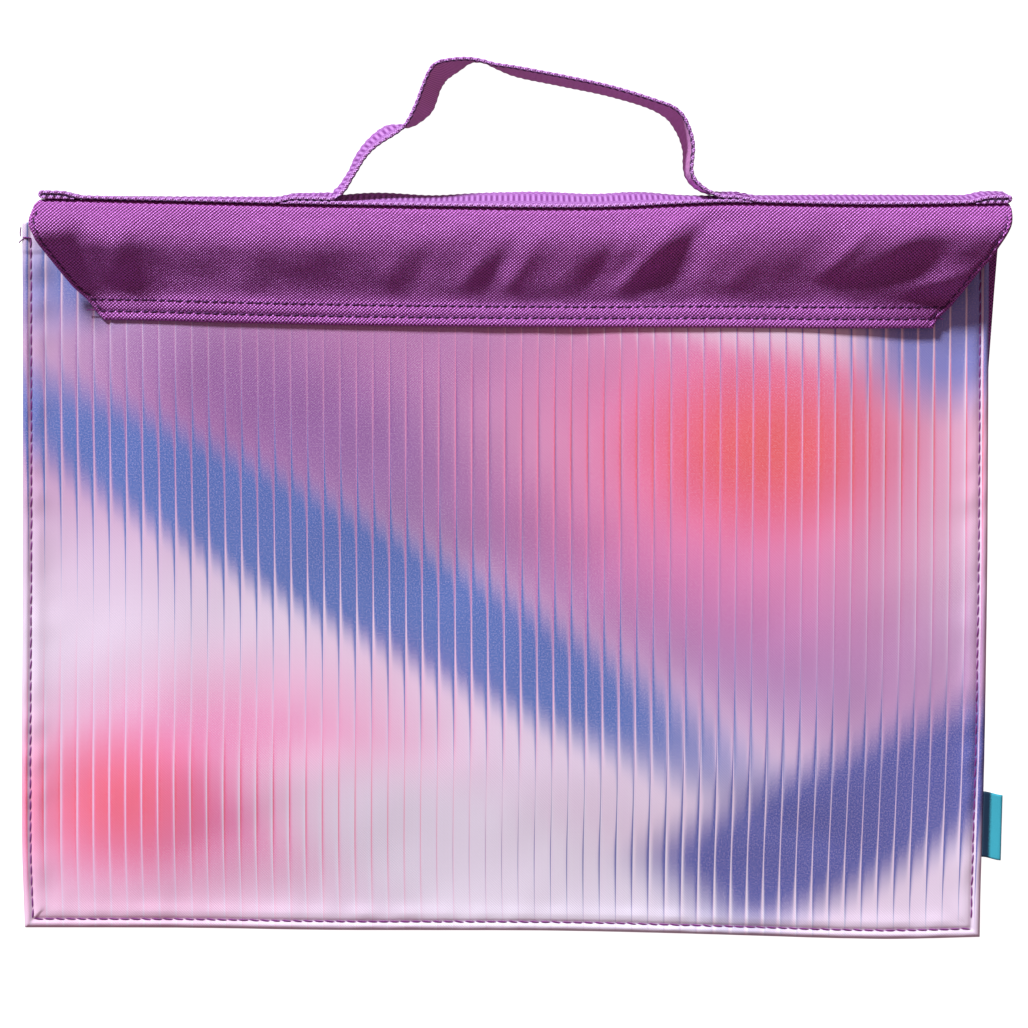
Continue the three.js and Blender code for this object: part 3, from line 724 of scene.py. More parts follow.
def print_cloth():
    """Coated oxford with a printed gradient seen as through upright flutes, and a fine grain."""
    s = Shader("fluted_print")
    place, x, y = s.cloth_place()
    y = s.math("SUBTRACT", y, BODY_HEIGHT / 2)
    turns = s.math("DIVIDE", x, FLUTE_PITCH)
    whole = s.math("FLOOR", turns)
    part = s.math("SUBTRACT", s.math("FRACT", turns), 0.5)
    middle = s.math("MULTIPLY", s.math("ADD", whole, 0.5), FLUTE_PITCH)
    aside = s.math("MULTIPLY", part, 2.0)
    squared = s.math("MULTIPLY", aside, aside)
    cubed = s.math("MULTIPLY", squared, aside)
    steep = s.math("MULTIPLY", s.math("POWER", squared, 5.0), aside)
    seen = s.math("MULTIPLY_ADD", cubed, FLUTE_THROW * 0.6, middle)
    seen = s.math("MULTIPLY_ADD", steep, FLUTE_THROW * 1.6, seen)
    color = PRINT_GROUND
    for cx, cy, rx, ry, turn, soft, strength, paint in PRINT_FIELDS:
        angle = math.radians(turn)
        dx = s.math("SUBTRACT", seen, cx)
        dy = s.math("SUBTRACT", y, cy)
        cosine, sine = math.cos(angle), math.sin(angle)
        along = s.math("MULTIPLY_ADD", dx, cosine / rx, s.math("MULTIPLY", dy, sine / rx))
        over = s.math("MULTIPLY_ADD", dy, cosine / ry, s.math("MULTIPLY", dx, -sine / ry))
        distance = s.math("SQRT", s.math("MULTIPLY_ADD", along, along, s.math("MULTIPLY", over, over)))
        field = s.ramp(distance, 1 - soft, 1 + soft * 0.6, strength, 0.0)
        color = s.mix(field, color, linear(*paint))
    grain = s.noise(place, 3.4, 3.0, 0.7)
    tint = s.noise(place, 1.8, 2.0, 0.6)
    color = s.mix(s.ramp(grain, 0.3, 0.7, 0.0, 0.22, "LINEAR"), color, linear(0.45, 0.4, 0.62))
    color = s.mix(s.ramp(tint, 0.45, 0.75, 0.0, 0.3, "LINEAR"), color, linear(0.98, 0.86, 0.95))
    weave = plain_weave(s, x, y, *PRINT_WEAVE)
    twill = s.wave(s.math("ADD", x, y), 1.1)
    color = s.mix(s.ramp(weave, -1.0, 1.0, 0.14, 0.0, "LINEAR"), color, linear(0.3, 0.22, 0.4))
    color = s.mix(s.ramp(twill, -1.0, 1.0, 0.07, 0.0, "LINEAR"), color, linear(0.3, 0.22, 0.4))
    height = s.math("MULTIPLY_ADD", s.math("SUBTRACT", grain, 0.5), 0.6, weave)
    return s.finish(color, 0.55, s.bump(height, 0.05, 0.6), sheen=0.08, specular=0.35)


def coated_inside():
    s = Shader("coated_inside")
    place, x, y = s.cloth_place()
    weave = plain_weave(s, x, y, *PRINT_WEAVE)
    patches = s.noise(place, 0.08, 3.0)
    color = s.mix(s.ramp(patches, 0.3, 0.7), linear(0.84, 0.82, 0.85), linear(0.93, 0.92, 0.94))
    return s.finish(color, 0.45, s.bump(weave, 0.04, 0.5), specular=0.4)


def webbing_cloth():
    """Ribbed webbing: painted pale highlights on the ribs far down its outer face and painted light and
    shade on small cells near the edges, fine weak ribs on its inner face, and looped edges with painted
    highlights on the loops and painted shade in dark notches along the inner side."""
    s = Shader("ribbed_webbing")
    place, along, around = s.cloth_place()
    girth = STRIP_WIDTH + 0.8
    depth = s.math("ABSOLUTE", around)
    from_edge = s.math("MINIMUM", depth, s.math("SUBTRACT", girth, depth))
    on_rim = s.ramp(from_edge, 1.3, 0.9)
    inner = s.ramp(around, -0.7, -1.3)
    speck = s.math("SUBTRACT", s.noise(place, 2.6, 2.0), 0.5)
    far = s.ramp(from_edge, 4.0, 10.0)
    rib = s.wave(along, RIB_PITCH)
    cell = s.math("MULTIPLY", s.wave(along, RIB_PITCH), s.wave(around, 3.2))
    near = s.math("SUBTRACT", 1.0, far)
    relief = s.math("ADD", s.math("MULTIPLY", rib, far), s.math("MULTIPLY", cell, near))
    # painted light: the ribs' and cells' own pattern, with painted highlights on their crests and painted
    # shade in their hollows
    rib_painted_light = s.math("MULTIPLY_ADD", speck, 1.3, relief)
    face = s.mix(s.ramp(rib_painted_light, -1.1, 1.1), linear(0.52, 0.22, 0.56), linear(0.8, 0.53, 0.85))
    fine = s.wave(s.math("MULTIPLY_ADD", around, 0.35, along), CELL_PITCH)
    grain = s.ramp(s.math("MULTIPLY_ADD", speck, 2.0, fine), -1.4, 1.4)
    face = s.mix(inner, face, s.mix(grain, linear(0.66, 0.36, 0.6), linear(0.93, 0.63, 0.86)))
    small = s.math("MULTIPLY", s.wave(along, CELL_PITCH), s.wave(around, 1.7, 0.8))
    loops = s.math("MULTIPLY_ADD", speck, 1.2, small)
    # painted light on the looped edges: loop crests lighter as painted highlights, the gaps between loops
    # darker as painted shade
    woven = s.mix(s.ramp(loops, -0.8, 0.8), linear(0.54, 0.22, 0.58), linear(0.88, 0.62, 0.92))
    # painted shade: dark notches between the loops along the rim's inner side
    teeth = s.math("ADD", s.wave(along, LOOP_PITCH), speck)
    painted_notch_shade = s.math("MULTIPLY_ADD", teeth, 0.3, around)
    woven = s.mix(s.ramp(painted_notch_shade, -0.3, -0.5), woven, linear(0.26, 0.04, 0.28))
    color = s.mix(on_rim, face, woven)
    height = s.math("MULTIPLY", s.mix_value(on_rim, relief, loops), s.math("MULTIPLY_ADD", inner, -0.7, 1.0))
    bumps = s.bump(height, 0.12, 0.8)
    return s.finish(color, 0.5, bumps, sheen=0.1, sheen_tint=linear(0.95, 0.8, 1.0), specular=0.45)


def thread_cloth(name, color, highlight):
    s = Shader(name)
    _, along, around = s.cloth_place()
    twist = s.wave(s.math("MULTIPLY_ADD", around, 1.4, along), 0.55)
    tone = s.mix(s.ramp(twist, -1.0, 1.0), color, highlight)
    return s.finish(tone, 0.55, s.bump(twist, 0.06, 0.8), sheen=0.15)


def label_cloth():
    """Woven tape: teal outside, a painted navy shadow of the pouch's edge by the seam, and bare."""
    s = Shader("label_tape")
    place, out, along = s.cloth_place()
    weave = plain_weave(s, out, along, *LABEL_WEAVE)
    edge = s.math("MULTIPLY_ADD", s.math("SUBTRACT", s.noise(place, 2.4, 2.0), 0.5), 1.6, out)
    # painted shadow: navy where the pouch's edge shades the tape by the seam, teal beyond it
    out_of_painted_shadow = s.ramp(edge, LABEL_REACH * 0.28, LABEL_REACH * 0.48)
    color = s.mix(out_of_painted_shadow, linear(0.07, 0.16, 0.27), linear(0.25, 0.69, 0.79))
    color = s.mix(s.ramp(weave, -1.0, 1.0, 0.2, 0.0), color, linear(0.04, 0.2, 0.3))
    return s.finish(color, 0.5, s.bump(weave, 0.05, 0.6), sheen=0.1)


PRINT = print_cloth()
INSIDE = coated_inside()
PURPLE = purple_oxford()
WEBBING = webbing_cloth()
THREAD = thread_cloth("purple_thread", linear(0.4, 0.05, 0.4), linear(0.6, 0.17, 0.6))
DARK_THREAD = thread_cloth("dark_purple_thread", linear(0.2, 0.02, 0.22), linear(0.4, 0.1, 0.44))
LABEL = label_cloth()


# The pouch's panels


def front_panel():
    widths = spaced(BODY_WIDTH, 7.0, 0.5, 1.75) / BODY_WIDTH
    heights = np.concatenate([np.arange(0, 7.0, 0.5), np.linspace(7.0, MOUTH_Y - 14, 130)])
    heights = np.concatenate([heights, np.linspace(MOUTH_Y - 13, MOUTH_Y, 16)]) / MOUTH_Y
    share, up = np.meshgrid(widths, heights)
    level = up * MOUTH_Y
    x = side_x("left", level) + (side_x("right", level) - side_x("left", level)) * share
    y = lower_y(x) + (MOUTH_Y - lower_y(x)) * up
    middle = np.stack([x, y, panel_z(x, y)], axis=-1)
    normal = surface_normals(middle)
    detail = panel_detail(x, y)[..., None]
    outer = middle + normal * (CLOTH / 2 + detail * PANEL_RELIEF)
    inner = middle - normal * (CLOTH / 2) + normal * np.maximum(detail, -0.1) * 0.3
    flat = np.stack([share * BODY_WIDTH - BODY_WIDTH / 2, level], axis=-1)
    return sheet_piece("front_cloth", outer, inner, flat, (PRINT, INSIDE))


def back_panel():
    top = YOKE_Y - GAP
    widths = spaced(BODY_WIDTH, 6.0, 1.0, 4.0) / BODY_WIDTH
    heights = spaced(top, 6.0, 1.0, 4.0) / top
    share, up = np.meshgrid(widths, heights)
    level = up * top
    x = side_x("left", level) + (side_x("right", level) - side_x("left", level)) * share
    y = lower_y(x) + (top - lower_y(x)) * up
    edge = np.minimum(np.minimum(x - side_x("left", y), side_x("right", y) - x), y - lower_y(x))
    roll = 0.35 * np.square(np.clip(1 - edge / 1.5, 0, 1))
    outer = np.stack([x, y, FLOOR_GAP + roll], axis=-1)
    inner = np.stack([x, y, CLOTH - 0.1 * ripples(x, y, 60, 31) - 0.1], axis=-1)
    flat = np.stack([BODY_WIDTH / 2 - share * BODY_WIDTH, level], axis=-1)
    return sheet_piece("back_cloth", inner, outer, flat, (INSIDE, PRINT))


# The flap


def flap_rows():
    """Stations down the cut: how far along the cloth, and the points of its middle."""
    ends = spaced(FLAP_WIDTH, 6.0, 0.5, 1.35) / FLAP_WIDTH
    rows, lengths = [], []
    length = 0.0
    last = None

    def add(points):
        nonlocal length, last
        if last is not None:
            middle = len(points) // 2
            length += float(np.linalg.norm(points[middle] - last[middle]))
        last = points
        rows.append(points)
        lengths.append(length)

    for up in spaced(1.0, 0.12, 0.02, 0.07):
        left, right = yoke_side("left", up), yoke_side("right", up)
        x = left + (right - left) * ends
        y = np.full_like(x, YOKE_Y + (FOOT_Y - SPINE_BEND - YOKE_Y) * up)
        add(np.stack([x, y, np.full_like(x, CLOTH / 2)], axis=-1))
    x = spine_side("left") + (spine_side("right") - spine_side("left")) * ends
    for angle in np.linspace(0, math.pi / 2, 6)[1:]:
        z = np.full_like(x, CLOTH / 2 + SPINE_BEND * (1 - math.cos(angle)))
        y = spine_y(x, z) - SPINE_BEND * (1 - math.sin(angle))
        add(np.stack([x, y, z], axis=-1))
    for part in np.linspace(0, 1, 9)[1:-1]:
        low = CLOTH / 2 + SPINE_BEND
        z = low + (fold_z(x) - SPINE_BEND - low) * part
        puffed = spine_y(x, z) + SPINE_PUFF * math.sin(math.pi * part)
        add(np.stack([x, puffed, z], axis=-1))
    for turned in np.linspace(0, 1, 7)[:-1]:
        angle = math.pi / 2 * turned
        left = spine_side("left") + (flap_side("left", 0.0) - spine_side("left")) * turned
        right = spine_side("right") + (flap_side("right", 0.0) - spine_side("right")) * turned
        x = left + (right - left) * ends
        z = fold_z(x) - SPINE_BEND * (1 - math.sin(angle))
        y = spine_y(x, z) - SPINE_BEND * (1 - math.cos(angle))
        add(np.stack([x, y, z], axis=-1))
    before = len(rows)
    downs = np.concatenate([np.linspace(0, 0.74, 38)[:-1], np.linspace(0.74, 1, 32)])
    for down in downs:
        add(flap_middle(ends, down))
    return ends, np.array(rows), np.array(lengths), before, downs


def flap():
    ends, middle, lengths, before, downs = flap_rows()
    normal = -surface_normals(middle)
    detail = np.zeros(middle.shape[:2])
    across, down = np.meshgrid(ends, downs)
    detail[before:] = flap_detail(across, down)
    ease = smooth((np.arange(len(middle)) - before) / 6)[:, None]
    detail *= ease
    wall = CLOTH + (FLAP_CLOTH - CLOTH) * ease
    outer = middle + normal * (wall / 2 + detail * FLAP_RELIEF)[..., None]
    inner = middle - normal * (wall / 2 - np.clip(detail, -0.1, 1) * 0.4)[..., None]
    outer[..., 2] = np.maximum(outer[..., 2], FLOOR_GAP)
    flat = np.stack(np.broadcast_arrays(middle[..., 0], -lengths[:, None]), axis=-1)
    return sheet_piece("flap_cloth", inner, outer, flat, (PURPLE,))


# The webbing


def on_spine(x, layer):
    """Upper and lower edge of a strip that stands on the spine, at a layer's distance."""
    lean = lean_at(x)
    upper = np.stack([x, FOOT_Y - lean + layer, strip_top(lean)], axis=-1)
    pinched = layer - FOOT_PINCH * (layer - CLOTH / 2)
    lower = np.stack([x, FOOT_Y + pinched + foot_out(x), 0 * x], axis=-1)
    return upper, lower


def long_layer(x):
    past_tuck = np.minimum(x - STRIP_LEFT, STRIP_RIGHT - x) - END_TUCK + SQUEEZE
    off_bridge = np.maximum(BRIDGE_LEFT - x, x - BRIDGE_RIGHT) + SQUEEZE
    down = np.minimum(smooth(past_tuck / STEP_LENGTH), smooth(off_bridge / STEP_LENGTH))
    return SECOND_LAYER + (FIRST_LAYER - SECOND_LAYER) * down


def run_on_spine(start, end, layer_at):
    x = np.linspace(start, end, max(2, math.ceil(abs(end - start) / 2)))
    return on_spine(x, layer_at(x))


def folded_end(end_x, inward):
    angles = np.linspace(0, math.pi, 9)[1:-1]
    middle = end_x + inward * (FOLD_RADIUS + STRIP_WALL / 2)
    x = middle - inward * FOLD_RADIUS * np.sin(angles)
    turn = on_spine(x, SECOND_LAYER + (FIRST_LAYER - SECOND_LAYER) * (1 - np.cos(angles)) / 2)
    inner = run_on_spine(middle, end_x + inward * END_TUCK, lambda at: np.full_like(at, FIRST_LAYER))
    return [np.concatenate(pair) for pair in zip(turn, inner)]


def catmull(points, per_span):
    """A centripetal curve through the points, as the solids' one."""
    points = np.asarray(points, float)
    ahead = 2 * points[0] - points[1]
    behind = 2 * points[-1] - points[-2]
    whole = np.concatenate([[ahead], points, [behind]])
    out = []
    for i in range(1, len(whole) - 2):
        p0, p1, p2, p3 = whole[i - 1 : i + 3]
        t0 = 0.0
        t1 = t0 + np.linalg.norm(p1 - p0) ** 0.5
        t2 = t1 + np.linalg.norm(p2 - p1) ** 0.5
        t3 = t2 + np.linalg.norm(p3 - p2) ** 0.5
        t = np.linspace(t1, t2, per_span, endpoint=False)[:, None]
        a1 = (t1 - t) / (t1 - t0) * p0 + (t - t0) / (t1 - t0) * p1
        a2 = (t2 - t) / (t2 - t1) * p1 + (t - t1) / (t2 - t1) * p2
        a3 = (t3 - t) / (t3 - t2) * p2 + (t - t2) / (t3 - t2) * p3
        b1 = (t2 - t) / (t2 - t0) * a1 + (t - t0) / (t2 - t0) * a2
        b2 = (t3 - t) / (t3 - t1) * a2 + (t - t1) / (t3 - t1) * a3
        out.append((t2 - t) / (t2 - t1) * b1 + (t - t1) / (t2 - t1) * b2)
    return np.concatenate([*out, points[-1:]])


def handle_loop():
    feet = []
    for side in ("before", "after"):
        feet.append(on_spine(HANDLE_LEFT + np.array(FEET[side]) * HANDLE_SPAN, SECOND_LAYER))
    foot = on_spine(np.array([HANDLE_LEFT]), SECOND_LAYER)[0][0]
    route = np.array(HANDLE_ROUTE)
    across, rise = route[:, 0] * HANDLE_SPAN, route[:, 1] * HANDLE_HEIGHT
    places = np.stack([HANDLE_LEFT + across, foot[1] + rise], axis=1)
    lean = route[:, 2] * STRIP_WIDTH
    ahead = np.roll(places, -1, axis=0)
    ahead[-1] = places[-1]
    behind = np.roll(places, 1, axis=0)
    behind[0] = places[0]
    way = ahead - behind
    way /= np.linalg.norm(way, axis=1, keepdims=True)
    aside = np.stack([way[:, 1], -way[:, 0]], axis=1) * lean[:, None]
    upper = np.column_stack([places, strip_top(lean)])
    lower = np.column_stack([places + aside, np.zeros(len(lean))])
    upper = np.concatenate([feet[0][0], upper, feet[1][0]])
    lower = np.concatenate([feet[0][1], lower, feet[1][1]])
    return catmull(upper, 8), catmull(lower, 8)


# The strip's section, from the middle of its upper edge round its outer side to the middle of its
# lower one: across its thickness, and down its width in millimetres from either edge
STRIP_SECTION = (
    (0.0, 0.14),
    (0.22, 0.0),
    (0.42, 0.12),
    (0.5, 0.4),
    (0.5, 0.9),
    (0.46, 1.5),
    (0.48, 3.0),
    (0.48, 6.0),
    (0.48, 9.5),
)


def strip_piece(name, upper, lower, spine_side_sign, materials):
    """A ribbed strip between its two edge lines, with looped woven edges and squeezed ends."""
    middle = (upper + lower) / 2
    along = lengths_along(middle)
    count = int(along[-1] / (RIB_PITCH / 5.5))
    at = np.linspace(0, along[-1], count)
    edges = [points_at(at, along, line) for line in (upper, lower)]
    outs = []
    for line in edges:
        way = np.gradient(line, axis=0)
        out = np.stack([-way[:, 1], way[:, 0], np.zeros(count)], axis=1)
        outs.append(out / np.linalg.norm(out, axis=1, keepdims=True))
    from_end = np.minimum(at, along[-1] - at)
    wall = 0.35 + 0.65 * smooth(from_end / SQUEEZE)
    rib = np.sin(2 * math.pi * at / RIB_PITCH)
    strand = np.sin(4 * math.pi * at / RIB_PITCH)
    loop = 2 * math.pi * at / LOOP_PITCH
    upper_half = [(t, down, 0) for t, down in STRIP_SECTION]
    lower_half = [(t, STRIP_WIDTH - down, 1) for t, down in reversed(STRIP_SECTION)]
    outside = upper_half + lower_half
    whole = [(t, down, end, 1) for t, down, end in outside]
    whole += [(t, down, end, -1) for t, down, end in reversed(outside[1:-1])]
    pairs = zip(outside, outside[1:])
    lengths = np.cumsum([0] + [math.hypot((b[0] - a[0]) * STRIP_WALL, b[1] - a[1]) for a, b in pairs])
    lengths = [*lengths, *(-lengths[-2:0:-1])]
    rings, maps = [], []
    for (t, down, end, side), length in zip(whole, lengths):
        share = down / STRIP_WIDTH
        from_edge = min(down, STRIP_WIDTH - down)
        place = edges[0] + (edges[1] - edges[0]) * share
        out = outs[0] + (outs[1] - outs[0]) * share
        offset = t * STRIP_WALL * np.ones(count)
        lift = np.zeros(count)
        if from_edge > 1:
            ribs = 0.6 * rib + 0.4 * strand if side > 0 else 0.5 * strand
            offset = offset + RIB_HEIGHT * (ribs - 0.8)
        elif t > 0:
            offset = offset + 0.1 * np.sin(loop + (0 if side > 0 else math.pi / 2)) - 0.05
            looped = np.sin(loop + (0 if side > 0 else math.pi)) - 0.6
            lift = LOOP_HEIGHT * looped * (1 if end == 0 else 0.3)
            lift = lift * max(0.0, 1 - from_edge * 1.6)
        aside = side * offset * wall + spine_side_sign * (1 - wall) * STRIP_WALL / 2
        ring = place + out * aside[:, None]
        ring[:, 2] += lift
        rings.append(ring)
        maps.append(np.stack([at, np.full(count, length)], axis=1))
    points = np.stack(rings, axis=1)
    points[..., 2] = np.maximum(points[..., 2], FLOOR_GAP)
    maps = np.stack(maps, axis=1)
    around = points.shape[1]
    index = np.arange(count * around).reshape(count, around)
    turned = np.roll(index, -1, axis=1)
    quads = np.stack([index[:-1], turned[:-1], turned[1:], index[1:]], axis=-1).reshape(-1, 4)
    caps = []
    last = len(outside) - 1
    for row, flip in ((index[0], False), (index[-1], True)):
        for k in range(1, last - 1):
            quad = (row[k], row[around - k], row[around - k - 1], row[k + 1])
            caps.append(quad[::-1] if flip else quad)
        caps.append((row[0], row[around - 1], row[1], row[1]))
        caps.append((row[last], row[last - 1], row[last + 1], row[last + 1]))
    return make_mesh(name, points, np.concatenate([quads, np.array(caps)]), maps, None, materials)


def handle_webbing():
    loop = handle_loop()
    room = FOLD_RADIUS + STRIP_WALL / 2
    left_run = run_on_spine(STRIP_LEFT + room, loop[0][0, 0] - STEP_LENGTH, long_layer)
    right_run = run_on_spine(loop[0][-1, 0] + STEP_LENGTH, STRIP_RIGHT - room, long_layer)
    left_end = [line[::-1] for line in folded_end(STRIP_LEFT, 1)]
    right_end = folded_end(STRIP_RIGHT, -1)
    upper, lower = (
        np.concatenate([left_end[k], left_run[k], loop[k], right_run[k], right_end[k]]) for k in (0, 1)
    )
    return strip_piece("handle_strip", upper, lower, 1, (WEBBING,))


def bridge_webbing():
    upper, lower = run_on_spine(BRIDGE_LEFT, BRIDGE_RIGHT, lambda at: np.full_like(at, FIRST_LAYER))
    return strip_piece("bridge_strip", upper, lower, -1, (WEBBING,))


# The label


def side_label():
    height = 2 * LABEL_WALL + GAP
    radius = height / 2 - LABEL_WALL / 2
    reach = LABEL_REACH - height / 2
    angles = np.linspace(-math.pi / 2, math.pi / 2, 9)
    out = np.concatenate([np.linspace(0, reach, 12)[:-1], reach + radius * np.cos(angles)])
    out = np.concatenate([out, np.linspace(reach, 0, 12)[1:]])
    up = np.concatenate([np.full(11, -radius), radius * np.sin(angles), np.full(11, radius)])
    widths = np.linspace(0, 1, 34)
    share, k = np.meshgrid(widths, np.arange(len(out)), indexing="ij")
    distance, level = out[k], up[k]
    y = LABEL_UP + share * LABEL_WIDTH - LABEL_SLOPE * smooth(distance / LABEL_REACH)
    curl = 0.12 * np.sin(share * 5 + 1) * distance / LABEL_REACH
    x = side_x("right", y) + LABEL_START + distance
    z = GAP + height / 2 + level + curl
    middle = np.stack([x, y, z], axis=-1)
    normal = surface_normals(middle)
    half = LABEL_WALL / 2 * 0.9
    flat = np.stack([distance, share * LABEL_WIDTH], axis=-1)
    return sheet_piece("label_loop", middle + normal * half, middle - normal * half, flat, (LABEL,))


# Stitches: each shows as a short arched tube whose ends dive into the cloth


def stitches(name, rows, material, pitch=STITCH_PITCH, length=STITCH_LENGTH, radius=THREAD_RADIUS, slant=0.1):
    """rows are lines of points on the cloth with the way out of it, as pairs of arrays."""
    paths, radii, maps = [], [], []
    shares = np.linspace(-0.5, 0.5, 7)
    arch = np.array([-0.55, 0.35, 0.75, 0.85, 0.75, 0.35, -0.55])
    width = np.array([0.7, 0.95, 1.0, 1.0, 1.0, 0.95, 0.7])
    draw = np.random.default_rng(7)
    for line, out in rows:
        along = lengths_along(line)
        count = max(1, int(along[-1] / pitch))
        for middle in (np.arange(count) + 0.5) * along[-1] / count:
            at = middle + shares * length * draw.uniform(0.93, 1.04)
            place = points_at(at, along, line)
            lift = points_at(at, along, out)
            way = np.gradient(place, axis=0)
            aside = np.cross(way, lift)
            aside /= np.maximum(np.linalg.norm(aside, axis=1, keepdims=True), 1e-9)
            turn = draw.normal(0, 0.05) + slant
            place = place + aside * (shares[:, None] * turn * length) + lift * (arch[:, None] * radius)
            paths.append(place)
            radii.append(width * radius)
            maps.append(np.repeat(at, TUBE_SIDES))
    points, quads = tube_rings(np.array(paths), np.array(radii))
    around = np.tile(np.arange(TUBE_SIDES) * TUBE_STEP, len(points) // TUBE_SIDES)
    flat = np.stack([np.concatenate(maps), around], axis=1)
    return make_mesh(name, points, quads, flat, None, (material,))


def panel_line(x, y):
    z = panel_z(x, y) + CLOTH / 2 + panel_detail(x, y) * PANEL_RELIEF
    line = np.stack([x, y, z], axis=-1)
    return line, np.tile([0.0, 0.0, 1.0], (len(x), 1))


def pouch_stitches():
    """The topstitch round the pouch, with its two corners turned, and the mouth's row."""
    start = MOUTH_Y - 6.0
    levels = np.linspace(start, SEAM_INSET, 200)
    left = side_x("left", levels) + SEAM_INSET
    right = side_x("right", levels) - SEAM_INSET
    x_low = np.linspace(side_x("left", 0.0) + SEAM_INSET, side_x("right", 0.0) - SEAM_INSET, 300)
    rows = [
        panel_line(left, levels),
        panel_line(right, levels),
        panel_line(x_low, lower_y(x_low) + SEAM_INSET),
    ]
    x_mouth = np.linspace(side_x("left", MOUTH_Y) + 8, side_x("right", MOUTH_Y) - 8, 300)
    rows.append(panel_line(x_mouth, np.full_like(x_mouth, MOUTH_Y - 10)))
    across = np.linspace(left[0], left[0] - SEAM_INSET + 0.4, 12)
    rows.append(panel_line(across, np.full_like(across, start)))
    return stitches("pouch_stitches", rows, THREAD)


def flap_line(across, down):
    step = 1e-3
    detail = flap_detail(across, down)
    place = flap_middle(across, down)
    along = flap_middle(across + step, down) - flap_middle(across - step, down)
    below = flap_middle(across, down + step) - flap_middle(across, down - step)
    out = -np.cross(along, below)
    out /= np.linalg.norm(out, axis=-1, keepdims=True)
    return place + out * (FLAP_CLOTH / 2 + detail * FLAP_RELIEF)[:, None], out


def flap_stitches():
    """Two rows along the hem and one round the slanting sides."""
    rows = []
    for row in HEM_ROWS:
        down = 1 - row / FLAP_DEPTH
        across = np.linspace(0.004, 0.996, 400)
        rows.append(flap_line(across, np.full_like(across, down)))
    down = np.linspace(0.03, 1 - HEM_ROWS[0] / FLAP_DEPTH, 120)
    width = flap_side("right", down) - flap_side("left", down)
    for side in ("left", "right"):
        inset = SIDE_INSET * np.sqrt(1 + np.square(side_slant(side, down))) / width
        rows.append(flap_line(inset if side == "left" else 1 - inset, down))
    return stitches("flap_stitches", rows, DARK_THREAD, pitch=3.4, length=3.0, radius=0.26, slant=-0.16)


def strip_stitches():
    """Rows along both edges of the long strip where it is sewn to the spine, pulled into its face."""
    rows = []
    spans = ((STRIP_LEFT + 2, HANDLE_LEFT - 6), (HANDLE_LEFT + HANDLE_SPAN + 8, STRIP_RIGHT - 2))
    for start, end in spans:
        x = np.linspace(start, end, 200)
        upper, lower = on_spine(x, long_layer(x) + STRIP_WALL / 2 - ROW_SINK)
        for share in (0.14, 0.88):
            line = upper + (lower - upper) * share
            rows.append((line, np.tile([0.0, 1.0, 0.2], (len(x), 1))))
    for x in (HANDLE_LEFT - 8, HANDLE_LEFT + HANDLE_SPAN + 10):
        for shift in (-1.6, 0, 1.6):
            at = np.full(40, x + shift)
            upper, lower = on_spine(at, SECOND_LAYER + STRIP_WALL / 2 - ROW_SINK)
            share = np.linspace(0.14, 0.88, 40)[:, None]
            rows.append((upper + (lower - upper) * share, np.tile([0.0, 1.0, 0.2], (40, 1))))
    return stitches("strip_stitches", rows, THREAD, pitch=3.2, length=2.7, radius=0.24)


def thread_tails():
    """Loose thread ends at the pouch's upper left corner and past the flap's hem corners."""
    top = CLOTH + SEAM_Z + 0.4
    left = side_x("left", YOKE_Y)
    level = MOUTH_Y - 6.0
    hem = 1 - HEM_ROWS[0] / FLAP_DEPTH
    corner, opposite = (flap_middle(np.array([k]), np.array([hem]))[0] for k in (0.0, 1.0))
    start = np.array([left, level, top])
    paths = [
        [start + (-0.6, 4.2, -1), start + (-1.1, 2.4, -1.4), start + (-0.8, 0.6, -1)],
        [start + (1.5, 0, -0.4), start + (-0.2, -0.5, -0.6), start + (-1.4, -1.9, -1.4)],
        [corner + (1.4, 0.1, 0.7), corner + (-1.4, 0.4, 0.6), corner + (-3.4, 0.3, 0.1)],
        [opposite + (-1.4, 0.1, 0.7), opposite + (0.6, 0.5, 0.4), opposite + (1.8, -0.3, 0.0)],
    ]
    count = 7
    rings = np.linspace(0, 1, count)[:, None]
    curves = []
    for a, b, c in paths:
        a, b, c = (np.array(point, float) for point in (a, b, c))
        curves.append((1 - rings) ** 2 * a + 2 * rings * (1 - rings) * b + rings**2 * c)
    points, quads = tube_rings(np.array(curves), np.full((len(paths), count), THREAD_RADIUS * 0.8))
    along = np.repeat(np.arange(count) * 0.6, TUBE_SIDES)
    around = np.tile(np.arange(TUBE_SIDES) * TUBE_STEP, count)
    flat = np.tile(np.stack([along, around], axis=1), (len(paths), 1))
    return make_mesh("thread_tails", points, quads, flat, None, (THREAD,))


def finish_piece(piece, slot, *nodes):
    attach(piece, "root")
    if nodes:
        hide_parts(*nodes)
    return piece


front_cloth = finish_piece(front_panel(), "printed_cloth", "front_panel")
back_cloth = finish_piece(back_panel(), "printed_cloth", "back_panel")
flap_cloth_piece = finish_piece(flap(), "plain_cloth", "flap")
finish_piece(handle_webbing(), "webbing", "handle_webbing")
finish_piece(bridge_webbing(), "webbing", "bridge_webbing")
finish_piece(side_label(), "label", "side_label")
finish_piece(pouch_stitches(), "plain_cloth")
finish_piece(flap_stitches(), "plain_cloth")
finish_piece(strip_stitches(), "webbing")
finish_piece(thread_tails(), "plain_cloth")


# The floor, light and camera

PHOTO_SIDE = 1028  # the photograph's width and height in its own pixels
PIXEL = 0.388  # millimetres on the bag for each of them
CAMERA_HEIGHT = 1600.0
VIEW_MIDDLE = (3.3, 161.0)  # what the photograph's middle shows, in the plan
BAG_LEVEL = 8.0
KEY_FROM = (-0.437, 0.757, 0.485)
KEY_STRENGTH = 5.7
KEY_ANGLE = 12  # degrees, for soft shadows
KEY_COLOR = (0.87, 1.02, 1.0)
FILL_STRENGTH = 0.24
FILL_COLOR = (1.25, 0.88, 0.92, 1.0)
FLOOR_SIDE = 20000.0
WALL_RADIUS = 18000.0
WALL_PANELS = 32


